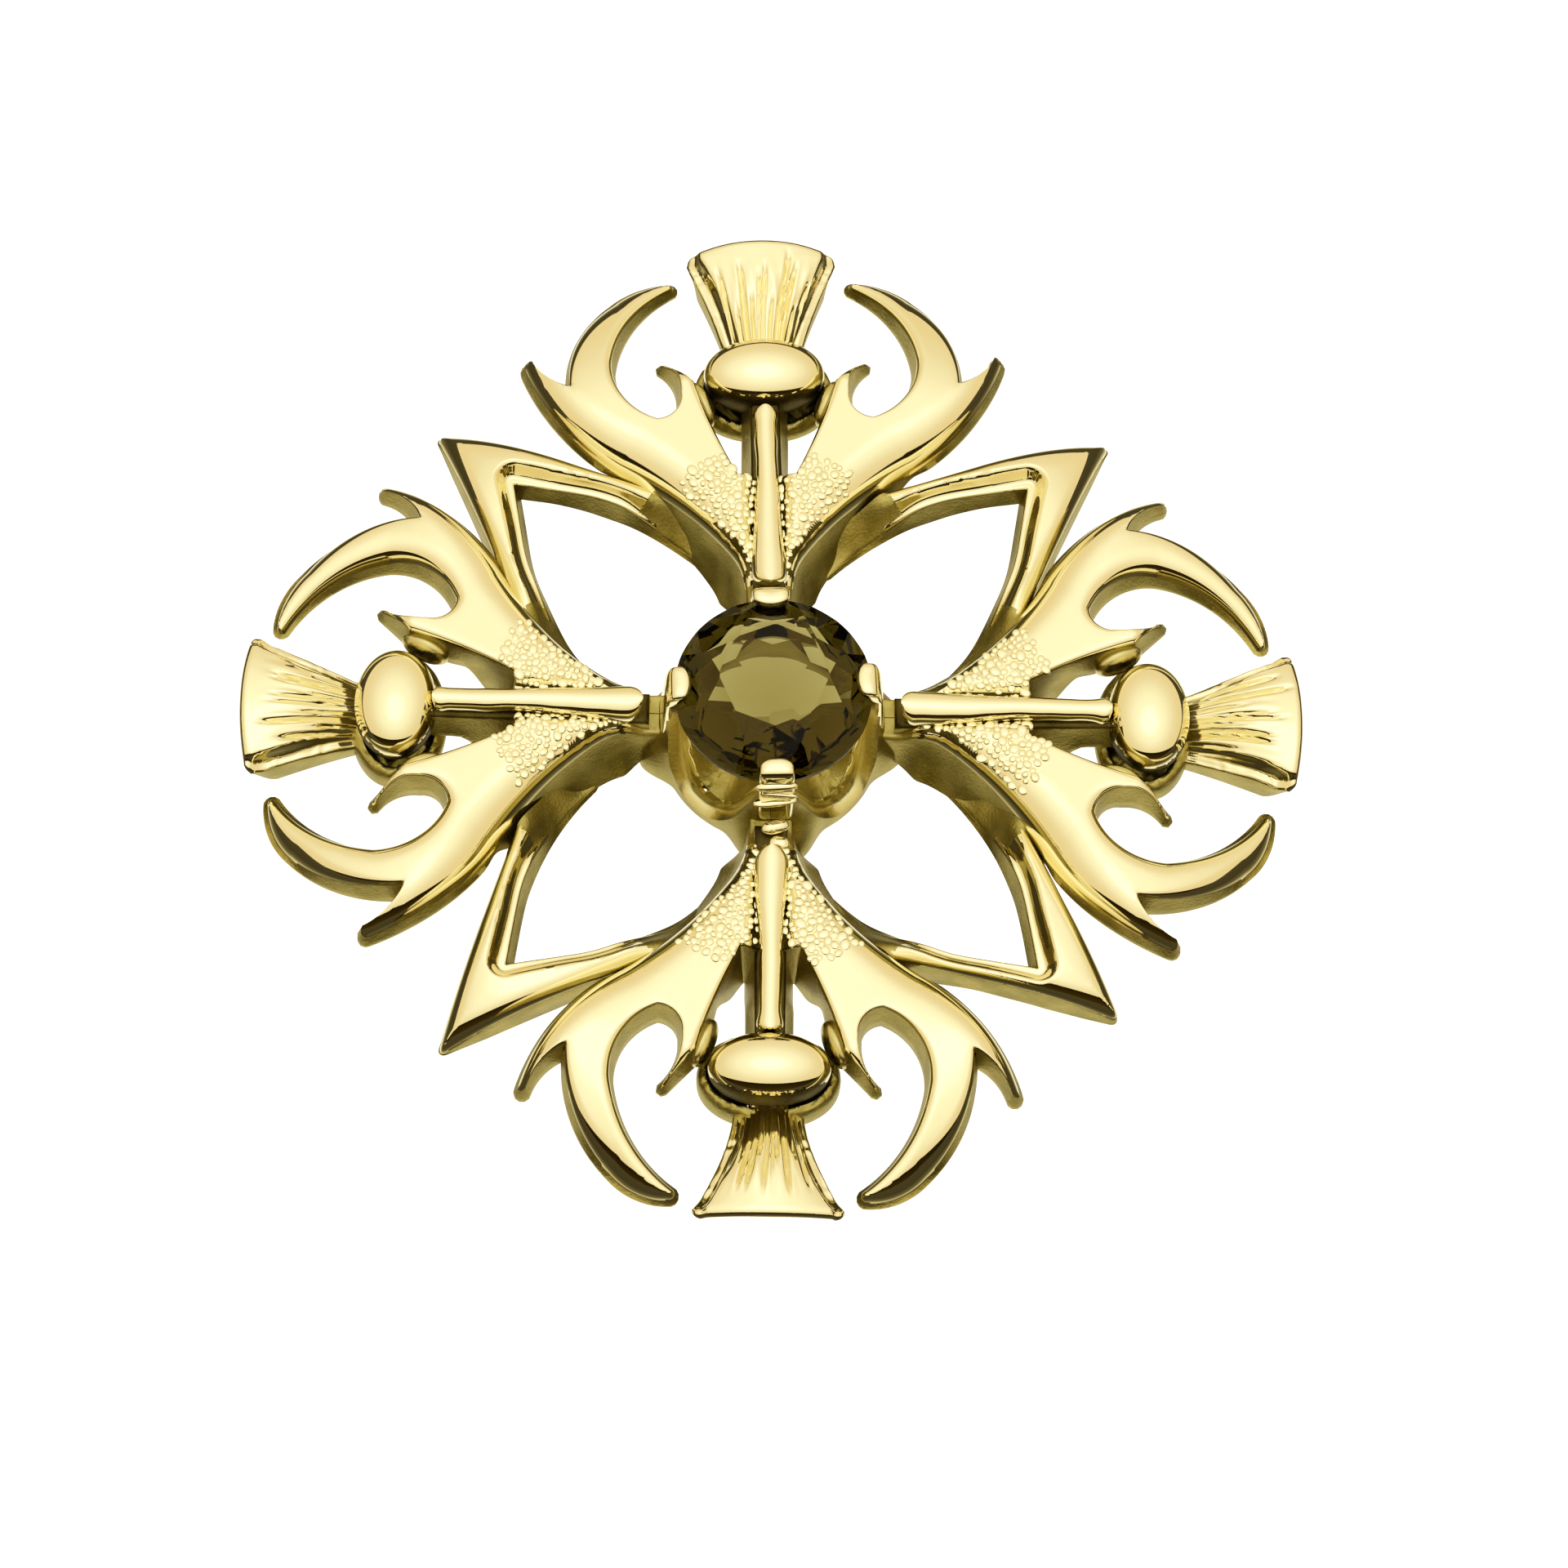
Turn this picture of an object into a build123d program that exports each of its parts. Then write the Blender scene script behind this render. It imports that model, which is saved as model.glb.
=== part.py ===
from build123d import *
import math
import os

# Thistle cross brooch, lying face up. Millimetres, +Z up out of the face, +Y towards the top thistle.
# The origin is at the middle of the brooch, on the plane that it rests on.

# Driving sizes
ARM_REACH = 21.6          # middle of the brooch to the crown of a thistle tuft
PLATE_TOP = 4.05          # height of the flat of the leaves
TIP_CURL_LENGTH = 6.6     # outermost length of an arm over which the leaves curl down
TIP_DROP_RADIUS = 9.0     # radius of that curl, seen from the side
CURL_ANGLE = 58.0         # angle through which a curl is carried on before it is cut off
LEAF_UNDERSIDE = 2.0      # height of the underside of the leaves, outside the deep middle
UNDERSIDE_LENGTH = 10.0   # outermost length of an arm that stands clear of the table
UNDERSIDE_SLOPE = 1.0     # width of the slope from the deep middle up to the leaves
UNDERSIDE_CURL_LENGTH = 6.1       # outermost length over which the underside follows the curl
UNDERSIDE_DROP_RADIUS = 12.5
BACK_RISE = 0.9           # how far the back is dished at the middle
BACK_FLAT_FROM = 17.5     # outside this radius the chevrons rest flat on the table
MARGIN = 1.0              # how far a cutter runs past the metal that it cuts

# Stem, bulb and calyx of one thistle
STEM_OUTER_RADIUS = 0.50
STEM_INNER_RADIUS = 0.80
STEM_START = 5.0
STEM_SEAT = 1.15          # how far short of the middle of the bulb the stem ends, inside the bulb
STEM_AXIS_HEIGHT = 3.65
STEM_RIB_WIDTH = 1.5      # width of the rib that carries the stem
STEM_TROUGH_WIDTH = 2.4
STEM_TROUGH_FLOOR = 3.45
BULB_HALF_WIDTH = 2.4
BULB_RADIUS = 1.5
BULB_HEIGHT = 2.75
BULB_OFFSET = 0.2         # middle of the calyx out to the middle of the bulb
CALYX_OFFSET = 0.354      # where a leaf meets the calyx, out to the middle of the calyx
CALYX_INSET = 0.0592      # and how far the widest part of the calyx lies inside that place
CALYX_HALF_LENGTH = 2.05
CALYX_END_RADIUS = 1.5
CALYX_TOP = 2.7
CALYX_BEVEL = 0.5
LUMP_RADIUS = 0.5
LUMP_INSET = 0.3092       # middle of a lump inside the place where the leaf meets the calyx
LUMP_SETBACK = 0.446      # and how far nearer to the setting
LUMP_TOP = 3.6
LUMP_BEVEL = 0.25
STEM_GAP_START = 0.484    # inner end of the gap beside the stem, as a share of ARM_REACH
LEAF_MEETS_CALYX = (0.137, 0.685)  # across and along the arm, as shares of ARM_REACH
SMALL_BARB_TIP = (0.200, 0.739)    # across and along the arm, as shares of ARM_REACH
SMALL_BARB_ROOT = (0.155, 0.683)   # where the small barb starts to dip, in the same shares
SMALL_BARB_LENGTH = 2.0
SMALL_BARB_TIP_TOP = 1.6
SMALL_BARB_WIDTH = 2.0

# Tuft of one thistle
TUFT_OFFSET = 1.45        # middle of the calyx out to the foot of the tuft
TUFT_CROWN_RISE = 0.65    # how far the crown stands beyond the widest part
TUFT_INNER_HALF = 1.5
TUFT_OUTER_HALF = 3.0
TUFT_SIDE_BOW = 0.29
TUFT_TOP = 3.55           # height of the middle of the tuft, which is arched across
TUFT_ARCH_RADIUS = 4.35
TUFT_FOOT_UNDERSIDE = 0.9 # height of the underside of the tuft at its foot
TUFT_RIM_UNDERSIDE = 1.1  # and at its crown
TUFT_RIM = 0.4            # height of the upright edge of the crown
TUFT_UNDERCUT = 0.87      # how far the crown leans in below that edge
TUFT_FLARE = 1.6          # how late the tuft widens: 1 would be straight sides
TUFT_GROOVE_WIDTH = 0.28
TUFT_GROOVE_DEPTH = 0.25

# Corner chevrons between the thistles
CHEVRON_REACH = 19.15
CHEVRON_TOP = 2.9
CHEVRON_CURL_LENGTH = 4.65        # outermost length over which the chevron curls down
CHEVRON_DROP_RADIUS = 7.4
CHEVRON_STEP = 0.65       # how far the inner ledge lies below the bar
CHEVRON_TIP_RADIUS = 0.3
BAR_CORNER = 0.838        # inner corner of the bar, as a share of CHEVRON_REACH
BAR_LEG = (0.205, 0.520)  # inner end of the bar's leg, across and along, as shares of CHEVRON_REACH
BAR_CORNER_SWAY = 0.6     # share of the tip's sway that the inner corner takes

# Setting and stone
STONE_DIAMETER = 8.0
GIRDLE_HEIGHT = 5.3
GIRDLE_THICKNESS = 0.2
CROWN_ANGLE = 36.0
CROWN_HEIGHT = 1.55
PAVILION_ANGLE = 39.0
CULET_HEIGHT = 0.15       # how much of the point below is taken off flat
FACET_COUNT = 8           # main facets above the girdle, and as many below
GIRDLE_FACET_REACH = 0.985    # share of the radius that the facets next to the girdle pass through
STAR_REACH = 0.62         # share of the radius that the facets next to the table pass through
STAR_DEPTH = 0.18         # and how far below the table
SETTING_GAP = 0.06        # clearance between stone and metal, at the claws and around the girdle
SEAT_GAP = 0.09           # clearance below the stone, measured upright
COLLET_TOP_RADIUS = 4.3
COLLET_FOOT_RADIUS = 4.6
COLLET_TOP = 5.0
COLLET_BORE_RADIUS = 2.7
COLLET_LIP_RADIUS = 3.9   # where the seat ends and the flat rim starts
COLLET_TAPER = (1.4, 2.9) # heights between which the foot narrows to the top
SCALLOP_RADIUS = 2.1
SCALLOP_HEIGHT = 5.35
CLAW_WIDTH = 1.35
CLAW_OUTER_RADIUS = 4.6
CLAW_INNER_RADIUS = 3.25
CLAW_TOP = 6.45
CLAW_SHOULDER = 0.75      # height of the rounded back of a claw
CLAW_SHOULDER_DEPTH = 0.4
CLAW_ROOT = (1.0, 3.4, 4.4)   # heights of the foot of a claw and of the two ends of its step inward
CLAW_ROOT_DEPTH = 0.2     # how far the root lies inside the girdle of the stone
STONE_ROOM_FLOOR = 1.75   # height of the bottom of the room for the stone
STONE_ROOM_POINT = 0.3    # radius of that bottom

# Pin at the back
PIN_RADIUS = 0.4
PIN_AXIS_HEIGHT = 0.85
PIN_SPAN = 19.2           # middle of the hinge block to middle of the catch
PIN_BLOCK_LENGTH = 2.0
PIN_BLOCK_WIDTH = 2.4
PIN_BLOCK_TOP = 1.9
PIN_GAP = 0.2             # clearance between the pin and the metal around it

# Places along an arm that follow from the sizes above
TIP_DROP_FROM = ARM_REACH - TIP_CURL_LENGTH
UNDERSIDE_FROM = ARM_REACH - UNDERSIDE_LENGTH
UNDERSIDE_DROP_FROM = ARM_REACH - UNDERSIDE_CURL_LENGTH
CALYX_CENTRE = LEAF_MEETS_CALYX[1] * ARM_REACH + CALYX_OFFSET
CALYX_HALF_WIDTH = LEAF_MEETS_CALYX[0] * ARM_REACH - CALYX_INSET
BULB_CENTRE = CALYX_CENTRE + BULB_OFFSET
LUMP_ALONG = LEAF_MEETS_CALYX[1] * ARM_REACH - LUMP_SETBACK
LUMP_ACROSS = LEAF_MEETS_CALYX[0] * ARM_REACH - LUMP_INSET
STEM_END = BULB_CENTRE - STEM_SEAT
TUFT_START = CALYX_CENTRE + TUFT_OFFSET
TUFT_SHOULDER = ARM_REACH - TUFT_CROWN_RISE
CHEVRON_DROP_FROM = CHEVRON_REACH - CHEVRON_CURL_LENGTH

# Leaf outline of the right-hand leaf, in shares of ARM_REACH, from the neck out along the outer
# edge and back along the inner one. Each row: across the arm, along the arm, and the bow of the
# arc that leads to the next row, positive when it swells to the right of the way travelled.
LEAF_OUTLINE = (
    # across, along, bow
    (0.046, 0.296, -0.0195),   # neck beside the setting
    (0.278, 0.512, 0.0258),    # where the outer edge turns from hollow to full
    (0.461, 0.741, 0.0080),    # outer barb, outer side of the tip
    (0.447, 0.751, -0.0116),   # outer barb, inner side of the tip
    (0.375, 0.678, 0.0259),    # crotch between barb and crescent
    (0.292, 0.896, 0.0125),    # shoulder of the crescent
    (0.183, 0.944, 0.0070),    # crescent, outer side of the tip
    (0.173, 0.928, -0.0255),   # crescent, inner side of the tip
    (0.294, 0.736, -0.0264),   # widest part of the round notch
    (0.208, 0.602, -0.0157),   # foot of the round notch
    (0.162, 0.657, -0.0120),   # notch beside the small barb
    (*SMALL_BARB_TIP, 0.0040), # small barb, notch side of the tip
    (0.194, 0.744, 0.0),       # small barb, thistle side of the tip
    (*LEAF_MEETS_CALYX, -0.0050),
    (0.056, STEM_GAP_START, 0.0),
    (0.000, STEM_GAP_START, 0.0),      # middle of the arm
    (0.000, 0.120, 0.0),       # middle of the arm, under the setting
    (0.046, 0.200, 0.0),
)

# Outline of half a corner opening, in shares of CHEVRON_REACH, on its right-hand side, from the
# corner near the tip down to the setting.
OPENING_OUTLINE = (
    # across, along, bow
    (0.000, 0.787, 0.0),       # corner under the tip of the chevron
    (0.108, 0.637, -0.0050),   # where the bar leaves the leaf
    (0.172, 0.449, -0.0040),   # where the side is widest
    (0.160, 0.285, -0.0050),   # corner beside the setting
    (0.130, 0.251, 0.0),       # foot of the setting
)

# Outline of half a chevron, in shares of CHEVRON_REACH, from where its leg runs into the leaf.
CHEVRON_OUTLINE = (
    # across, along
    (0.205, 0.560),            # outer edge of the leg
    (0.225, 0.330),
    (0.225, 0.225),            # beside the neck of the leaf
    (0.050, 0.050),            # under the setting
)

# The thistles and the chevrons: heading of each from the top, counter-clockwise, with the small
# turn that the hand-finished casting gives it.
THISTLES = (
    # heading, turn
    (0.0, 1.1),
    (90.0, -1.2),
    (180.0, -0.5),
    (270.0, 0.0),
)
CHEVRONS = (
    # heading, sway of the tip, share of CHEVRON_REACH
    (45.0, -0.25, 1.007),
    (135.0, -0.45, 1.000),
    (225.0, -1.10, 0.967),
    (315.0, 0.55, 1.014),
)

# Grooves of the tuft: place across the tuft as a share of its half width, then start and end
# as shares of its length.
TUFT_GROOVES = (
    # place, start, end
    (-0.72, 0.05, 0.70),
    (-0.46, 0.05, 0.88),
    (-0.20, 0.12, 0.78),
    (0.04, 0.05, 0.66),
    (0.26, 0.10, 0.90),
    (0.52, 0.05, 0.74),
    (0.74, 0.05, 0.84),
)

# Facets of the stone, in rings around it.
STONE_FACETS = (
    # count, first heading, angle from the girdle plane, radius passed through, height there
    (FACET_COUNT, 0.0, CROWN_ANGLE, STONE_DIAMETER / 2, GIRDLE_HEIGHT + GIRDLE_THICKNESS),
    (
        2 * FACET_COUNT, 11.25, CROWN_ANGLE + 7.0,
        STONE_DIAMETER / 2 * GIRDLE_FACET_REACH, GIRDLE_HEIGHT + GIRDLE_THICKNESS,
    ),
    (
        FACET_COUNT, 22.5, CROWN_ANGLE - 14.0,
        STONE_DIAMETER / 2 * STAR_REACH, GIRDLE_HEIGHT + GIRDLE_THICKNESS + CROWN_HEIGHT - STAR_DEPTH,
    ),
    (FACET_COUNT, 0.0, -PAVILION_ANGLE, STONE_DIAMETER / 2, GIRDLE_HEIGHT),
    (
        2 * FACET_COUNT, 11.25, -PAVILION_ANGLE - 2.5,
        STONE_DIAMETER / 2 * GIRDLE_FACET_REACH, GIRDLE_HEIGHT,
    ),
)


def arc_edges(rows, scale, side=1.0, closed=False):
    """Edges through rows of (across, along, bow), each row's arc leading to the next one."""
    places = [Vector(side * across * scale, along * scale) for across, along, bow in rows]
    edges = []
    count = len(rows) if closed else len(rows) - 1
    for index in range(count):
        start = places[index]
        end = places[(index + 1) % len(rows)]
        bow = side * rows[index][2] * scale
        if abs(bow) < 1e-9:
            edges.append(Line(start, end))
            continue
        way = (end - start).normalized()
        middle = (start + end) * 0.5 + Vector(way.Y, -way.X) * bow
        edges.append(ThreePointArc(start, middle, end))
    return edges


def turned_solid(profile_edges):
    """Solid of revolution about Z from edges drawn in the XZ plane."""
    return revolve(make_face(profile_edges), Axis.Z)


def domed_block(top, drop_from, drop_radius):
    """Round block with a flat top whose rim curls down past drop_from."""
    fall = math.radians(CURL_ANGLE)
    half, rim = (
        Vector(
            drop_from + drop_radius * math.sin(swing), 0, top - drop_radius * (1 - math.cos(swing))
        )
        for swing in (fall / 2, fall)
    )
    return turned_solid([
        Polyline(
            rim,
            Vector(rim.X, 0, -2 * MARGIN),
            Vector(0, 0, -2 * MARGIN),
            Vector(0, 0, top),
            Vector(drop_from, 0, top),
        ),
        ThreePointArc(Vector(drop_from, 0, top), half, rim),
    ])


def leaf(side):
    """One leaf with its half of the web, upright walls and a flat top, before the tips are curled."""
    face = make_face(arc_edges(LEAF_OUTLINE, ARM_REACH, side, closed=True))
    return extrude(face, PLATE_TOP + MARGIN, dir=(0, 0, 1))


def small_barb_room(side):
    """Wedge above one small barb, so that the barb dips towards the round notch."""
    across, along = (share * ARM_REACH for share in SMALL_BARB_ROOT)
    tip_across, tip_along = (share * ARM_REACH for share in SMALL_BARB_TIP)
    way = Vector(side * (tip_across - across), tip_along - along).normalized()
    top = PLATE_TOP + MARGIN
    wedge = make_face(Polyline(
        Vector(0, PLATE_TOP),
        Vector(SMALL_BARB_LENGTH, SMALL_BARB_TIP_TOP),
        Vector(SMALL_BARB_LENGTH, top),
        Vector(0, top),
        close=True,
    ))
    upright = Plane(origin=(side * across, along, 0), x_dir=way, z_dir=way.cross(Vector(0, 0, 1)))
    return extrude(upright * wedge, SMALL_BARB_WIDTH / 2, both=True)


def underside_room():
    """Room below the outer parts of the thistles, which stand clear of the table."""
    slope_end = UNDERSIDE_FROM + UNDERSIDE_SLOPE
    reach = ARM_REACH + MARGIN
    swing = math.asin((reach - UNDERSIDE_DROP_FROM) / UNDERSIDE_DROP_RADIUS)
    curl = [
        Vector(
            UNDERSIDE_DROP_FROM + UNDERSIDE_DROP_RADIUS * math.sin(share * swing),
            0,
            LEAF_UNDERSIDE - UNDERSIDE_DROP_RADIUS * (1 - math.cos(share * swing)),
        )
        for share in (0.0, 0.5, 1.0)
    ]
    return turned_solid([
        Polyline(
            Vector(reach, 0, curl[2].Z),
            Vector(reach, 0, -MARGIN),
            Vector(UNDERSIDE_FROM, 0, -MARGIN),
            Vector(UNDERSIDE_FROM, 0, BACK_RISE),
            Vector(slope_end, 0, LEAF_UNDERSIDE),
            curl[0],
        ),
        ThreePointArc(*curl),
    ])


def stem():
    """Round stem that tapers outward, on a rib that reaches the back."""
    length = STEM_END - STEM_START
    rod = Plane(origin=(0, STEM_START + length / 2, STEM_AXIS_HEIGHT), z_dir=(0, 1, 0)) * Cone(
        STEM_INNER_RADIUS, STEM_OUTER_RADIUS, length
    )
    rib = Pos(0, STEM_START + length / 2, STEM_AXIS_HEIGHT / 2) * Box(
        STEM_RIB_WIDTH, length, STEM_AXIS_HEIGHT
    )
    return rod + rib


def oval_upper_half(half_width, half_height, end_radius):
    """Upper half of an oval of three smooth arcs, from its right end to its left one."""
    offset = half_width - end_radius
    flat_radius = (half_height ** 2 + offset ** 2 - end_radius ** 2) / (2 * (half_height - end_radius))
    reach = math.hypot(offset, flat_radius - half_height)
    way = Vector(offset / reach, (flat_radius - half_height) / reach)
    joint = Vector(offset, 0) + way * end_radius
    half_way = (way + Vector(1, 0)).normalized()
    end_middle = Vector(offset, 0) + half_way * end_radius
    return [
        ThreePointArc(Vector(half_width, 0), end_middle, joint),
        ThreePointArc(joint, Vector(0, half_height), Vector(-joint.X, joint.Y)),
        ThreePointArc(
            Vector(-joint.X, joint.Y), Vector(-end_middle.X, end_middle.Y), Vector(-half_width, 0)
        ),
    ]


def bulb():
    """Smooth oval bulb, a ball stretched across the arm."""
    ball = scale(Sphere(BULB_RADIUS), by=(BULB_HALF_WIDTH / BULB_RADIUS, 1, 1))
    return Pos(0, BULB_CENTRE, BULB_HEIGHT) * ball


def calyx():
    """Oval disc behind the bulb, with a bevelled rim."""
    upper = oval_upper_half(CALYX_HALF_WIDTH, CALYX_HALF_LENGTH, CALYX_END_RADIUS)
    lower = [mirror(edge, Plane.XZ) for edge in upper]
    disc = extrude(make_face([*upper, *lower]), CALYX_TOP)
    disc = chamfer(disc.edges().group_by(Axis.Z)[-1], CALYX_BEVEL)
    return Pos(0, CALYX_CENTRE, 0) * disc


def lumps():
    """The two beads of metal that join the leaves to the calyx."""
    bead = chamfer(Cylinder(LUMP_RADIUS, LUMP_TOP).edges().group_by(Axis.Z)[-1], LUMP_BEVEL)
    return [Pos(side * LUMP_ACROSS, LUMP_ALONG, LUMP_TOP / 2) * bead for side in (-1, 1)]


def tuft():
    """Flared tuft, arched across, with a rounded crown and grooves of unequal length."""
    left_side = ThreePointArc(
        Vector(-TUFT_INNER_HALF, TUFT_START),
        Vector(
            -(TUFT_INNER_HALF + TUFT_OUTER_HALF) / 2 + TUFT_SIDE_BOW,
            (TUFT_START + TUFT_SHOULDER) / 2 + TUFT_SIDE_BOW / 2,
        ),
        Vector(-TUFT_OUTER_HALF, TUFT_SHOULDER),
    )
    crown = ThreePointArc(
        Vector(-TUFT_OUTER_HALF, TUFT_SHOULDER),
        Vector(0, ARM_REACH),
        Vector(TUFT_OUTER_HALF, TUFT_SHOULDER),
    )
    foot = Line(Vector(-TUFT_INNER_HALF, TUFT_START), Vector(TUFT_INNER_HALF, TUFT_START))
    arch = Pos(0, (TUFT_START + ARM_REACH) / 2, TUFT_TOP - TUFT_ARCH_RADIUS) * Cylinder(
        TUFT_ARCH_RADIUS, ARM_REACH - TUFT_START + 2 * MARGIN, rotation=(90, 0, 0)
    )
    block = extrude(make_face([left_side, crown, mirror(left_side, Plane.YZ), foot]), TUFT_TOP)
    under = make_face(Polyline(
        Vector(0, TUFT_START - MARGIN, -MARGIN),
        Vector(0, ARM_REACH + MARGIN, -MARGIN),
        Vector(0, ARM_REACH + MARGIN, TUFT_TOP - TUFT_RIM),
        Vector(0, ARM_REACH, TUFT_TOP - TUFT_RIM),
        Vector(0, ARM_REACH - TUFT_UNDERCUT, TUFT_RIM_UNDERSIDE),
        Vector(0, TUFT_START, TUFT_FOOT_UNDERSIDE),
        Vector(0, TUFT_START - MARGIN, TUFT_FOOT_UNDERSIDE),
        close=True,
    ))
    block = (block & arch) - extrude(under, 2 * TUFT_OUTER_HALF, both=True)
    for place, start, end in TUFT_GROOVES:
        block -= groove(place, start, end)
    return block


def groove(place, start, end):
    """V-shaped cutter for one groove of the tuft, running between two shares of its length."""
    length = ARM_REACH - TUFT_START
    ends = []
    for share in (start, end):
        half = TUFT_INNER_HALF + (TUFT_OUTER_HALF - TUFT_INNER_HALF) * share ** TUFT_FLARE
        across = place * half
        arch_drop = TUFT_ARCH_RADIUS - math.sqrt(TUFT_ARCH_RADIUS ** 2 - across ** 2)
        ends.append(Vector(across, TUFT_START + share * length, TUFT_TOP - arch_drop))
    way = (ends[1] - ends[0]).normalized()
    section = Plane(origin=ends[0], x_dir=Vector(0, 0, 1).cross(way), z_dir=way) * Polygon(
        (-TUFT_GROOVE_WIDTH / 2, TUFT_GROOVE_DEPTH),
        (TUFT_GROOVE_WIDTH / 2, TUFT_GROOVE_DEPTH),
        (0, -TUFT_GROOVE_DEPTH),
        align=None,
    )
    return extrude(section, (ends[1] - ends[0]).length, dir=way)


def thistle():
    """One arm of the cross, pointing along +Y."""
    plate = (leaf(1) + leaf(-1)) & domed_block(PLATE_TOP, TIP_DROP_FROM, TIP_DROP_RADIUS)
    trough_length = STEM_GAP_START * ARM_REACH - STEM_START
    trough = Pos(0, STEM_START + trough_length / 2, STEM_TROUGH_FLOOR + MARGIN) * Box(
        STEM_TROUGH_WIDTH, trough_length, 2 * MARGIN
    )
    arm = plate - trough - small_barb_room(1) - small_barb_room(-1)
    for piece in (stem(), calyx(), bulb(), *lumps()):
        arm += piece
    return (arm - underside_room()) + tuft()


def chevron(sway, reach_share):
    """One corner chevron with its inner ledge, pointing along +Y, its legs buried in the leaves."""
    tip = Vector(sway, CHEVRON_REACH * reach_share + CHEVRON_TIP_RADIUS)
    right_side = [Vector(across, along) * CHEVRON_REACH for across, along in CHEVRON_OUTLINE]
    left_side = [Vector(-place.X, place.Y) for place in reversed(right_side)]
    outer = make_face(Polyline(tip, *right_side, *left_side, close=True))
    outer = fillet(outer.vertices().sort_by(Axis.Y)[-1], CHEVRON_TIP_RADIUS)
    leg_across, leg_along = (share * CHEVRON_REACH for share in BAR_LEG)
    inner = make_face(Polyline(
        Vector(sway * BAR_CORNER_SWAY, BAR_CORNER * CHEVRON_REACH),
        Vector(leg_across, leg_along),
        Vector(leg_across, 0),
        Vector(-leg_across, 0),
        Vector(-leg_across, leg_along),
        close=True,
    ))
    right = arc_edges(OPENING_OUTLINE, CHEVRON_REACH)
    left = arc_edges(OPENING_OUTLINE, CHEVRON_REACH, -1.0)
    foot_half = OPENING_OUTLINE[-1][0] * CHEVRON_REACH
    foot_along = OPENING_OUTLINE[-1][1] * CHEVRON_REACH
    foot = ThreePointArc(
        Vector(-foot_half, foot_along), Vector(0, COLLET_FOOT_RADIUS), Vector(foot_half, foot_along)
    )
    opening = make_face([*right, *left, foot])
    bar = extrude(outer - inner, PLATE_TOP) & domed_block(
        CHEVRON_TOP, CHEVRON_DROP_FROM, CHEVRON_DROP_RADIUS
    )
    ledge = extrude(outer - opening, PLATE_TOP) & domed_block(
        CHEVRON_TOP - CHEVRON_STEP, CHEVRON_DROP_FROM, CHEVRON_DROP_RADIUS
    )
    return bar + ledge


def stone_profile_height(radius):
    """Height of the underside of the stone at a radius."""
    return GIRDLE_HEIGHT - (STONE_DIAMETER / 2 - radius) * math.tan(math.radians(PAVILION_ANGLE))


def collet():
    """Round setting with a seat for the stone and a scallop between each two claws."""
    taper_start, taper_end = COLLET_TAPER
    body = turned_solid([
        Polyline(
            Vector(COLLET_BORE_RADIUS, 0, 0),
            Vector(COLLET_FOOT_RADIUS, 0, 0),
            Vector(COLLET_FOOT_RADIUS, 0, taper_start),
            Vector(COLLET_TOP_RADIUS, 0, taper_end),
            Vector(COLLET_TOP_RADIUS, 0, COLLET_TOP),
            Vector(COLLET_LIP_RADIUS, 0, stone_profile_height(COLLET_LIP_RADIUS) - SEAT_GAP),
            Vector(COLLET_BORE_RADIUS, 0, stone_profile_height(COLLET_BORE_RADIUS) - SEAT_GAP),
            Vector(COLLET_BORE_RADIUS, 0, 0),
        )
    ])
    for heading in (45.0, 135.0):
        cutter = Cylinder(SCALLOP_RADIUS, 4 * COLLET_FOOT_RADIUS, rotation=(90, 0, 0))
        body -= Rot(0, 0, heading) * Pos(0, 0, SCALLOP_HEIGHT) * cutter
    return body


def claw():
    """One claw, pointing along +Y: an upright that is bent over the edge of the stone."""
    half = STONE_DIAMETER / 2
    crown_slope = math.tan(math.radians(CROWN_ANGLE))
    girdle_top = GIRDLE_HEIGHT + GIRDLE_THICKNESS
    lip_height = girdle_top + (half - CLAW_INNER_RADIUS) * crown_slope + 2 * SETTING_GAP
    foot, step_foot, step_top = CLAW_ROOT
    root_radius = half - CLAW_ROOT_DEPTH
    back = Vector(0, CLAW_OUTER_RADIUS, CLAW_TOP - CLAW_SHOULDER)
    lip = Vector(0, CLAW_INNER_RADIUS, CLAW_TOP)
    section = make_face([
        Polyline(
            lip,
            Vector(0, CLAW_INNER_RADIUS, lip_height),
            Vector(0, half + SETTING_GAP, girdle_top + 2 * SETTING_GAP),
            Vector(0, half + SETTING_GAP, step_top),
            Vector(0, root_radius, step_foot),
            Vector(0, root_radius, foot),
            Vector(0, CLAW_OUTER_RADIUS, foot),
            back,
        ),
        ThreePointArc(back, Vector(0, CLAW_OUTER_RADIUS - CLAW_SHOULDER_DEPTH, CLAW_TOP), lip),
    ])
    return extrude(section, CLAW_WIDTH / 2, both=True)


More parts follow.
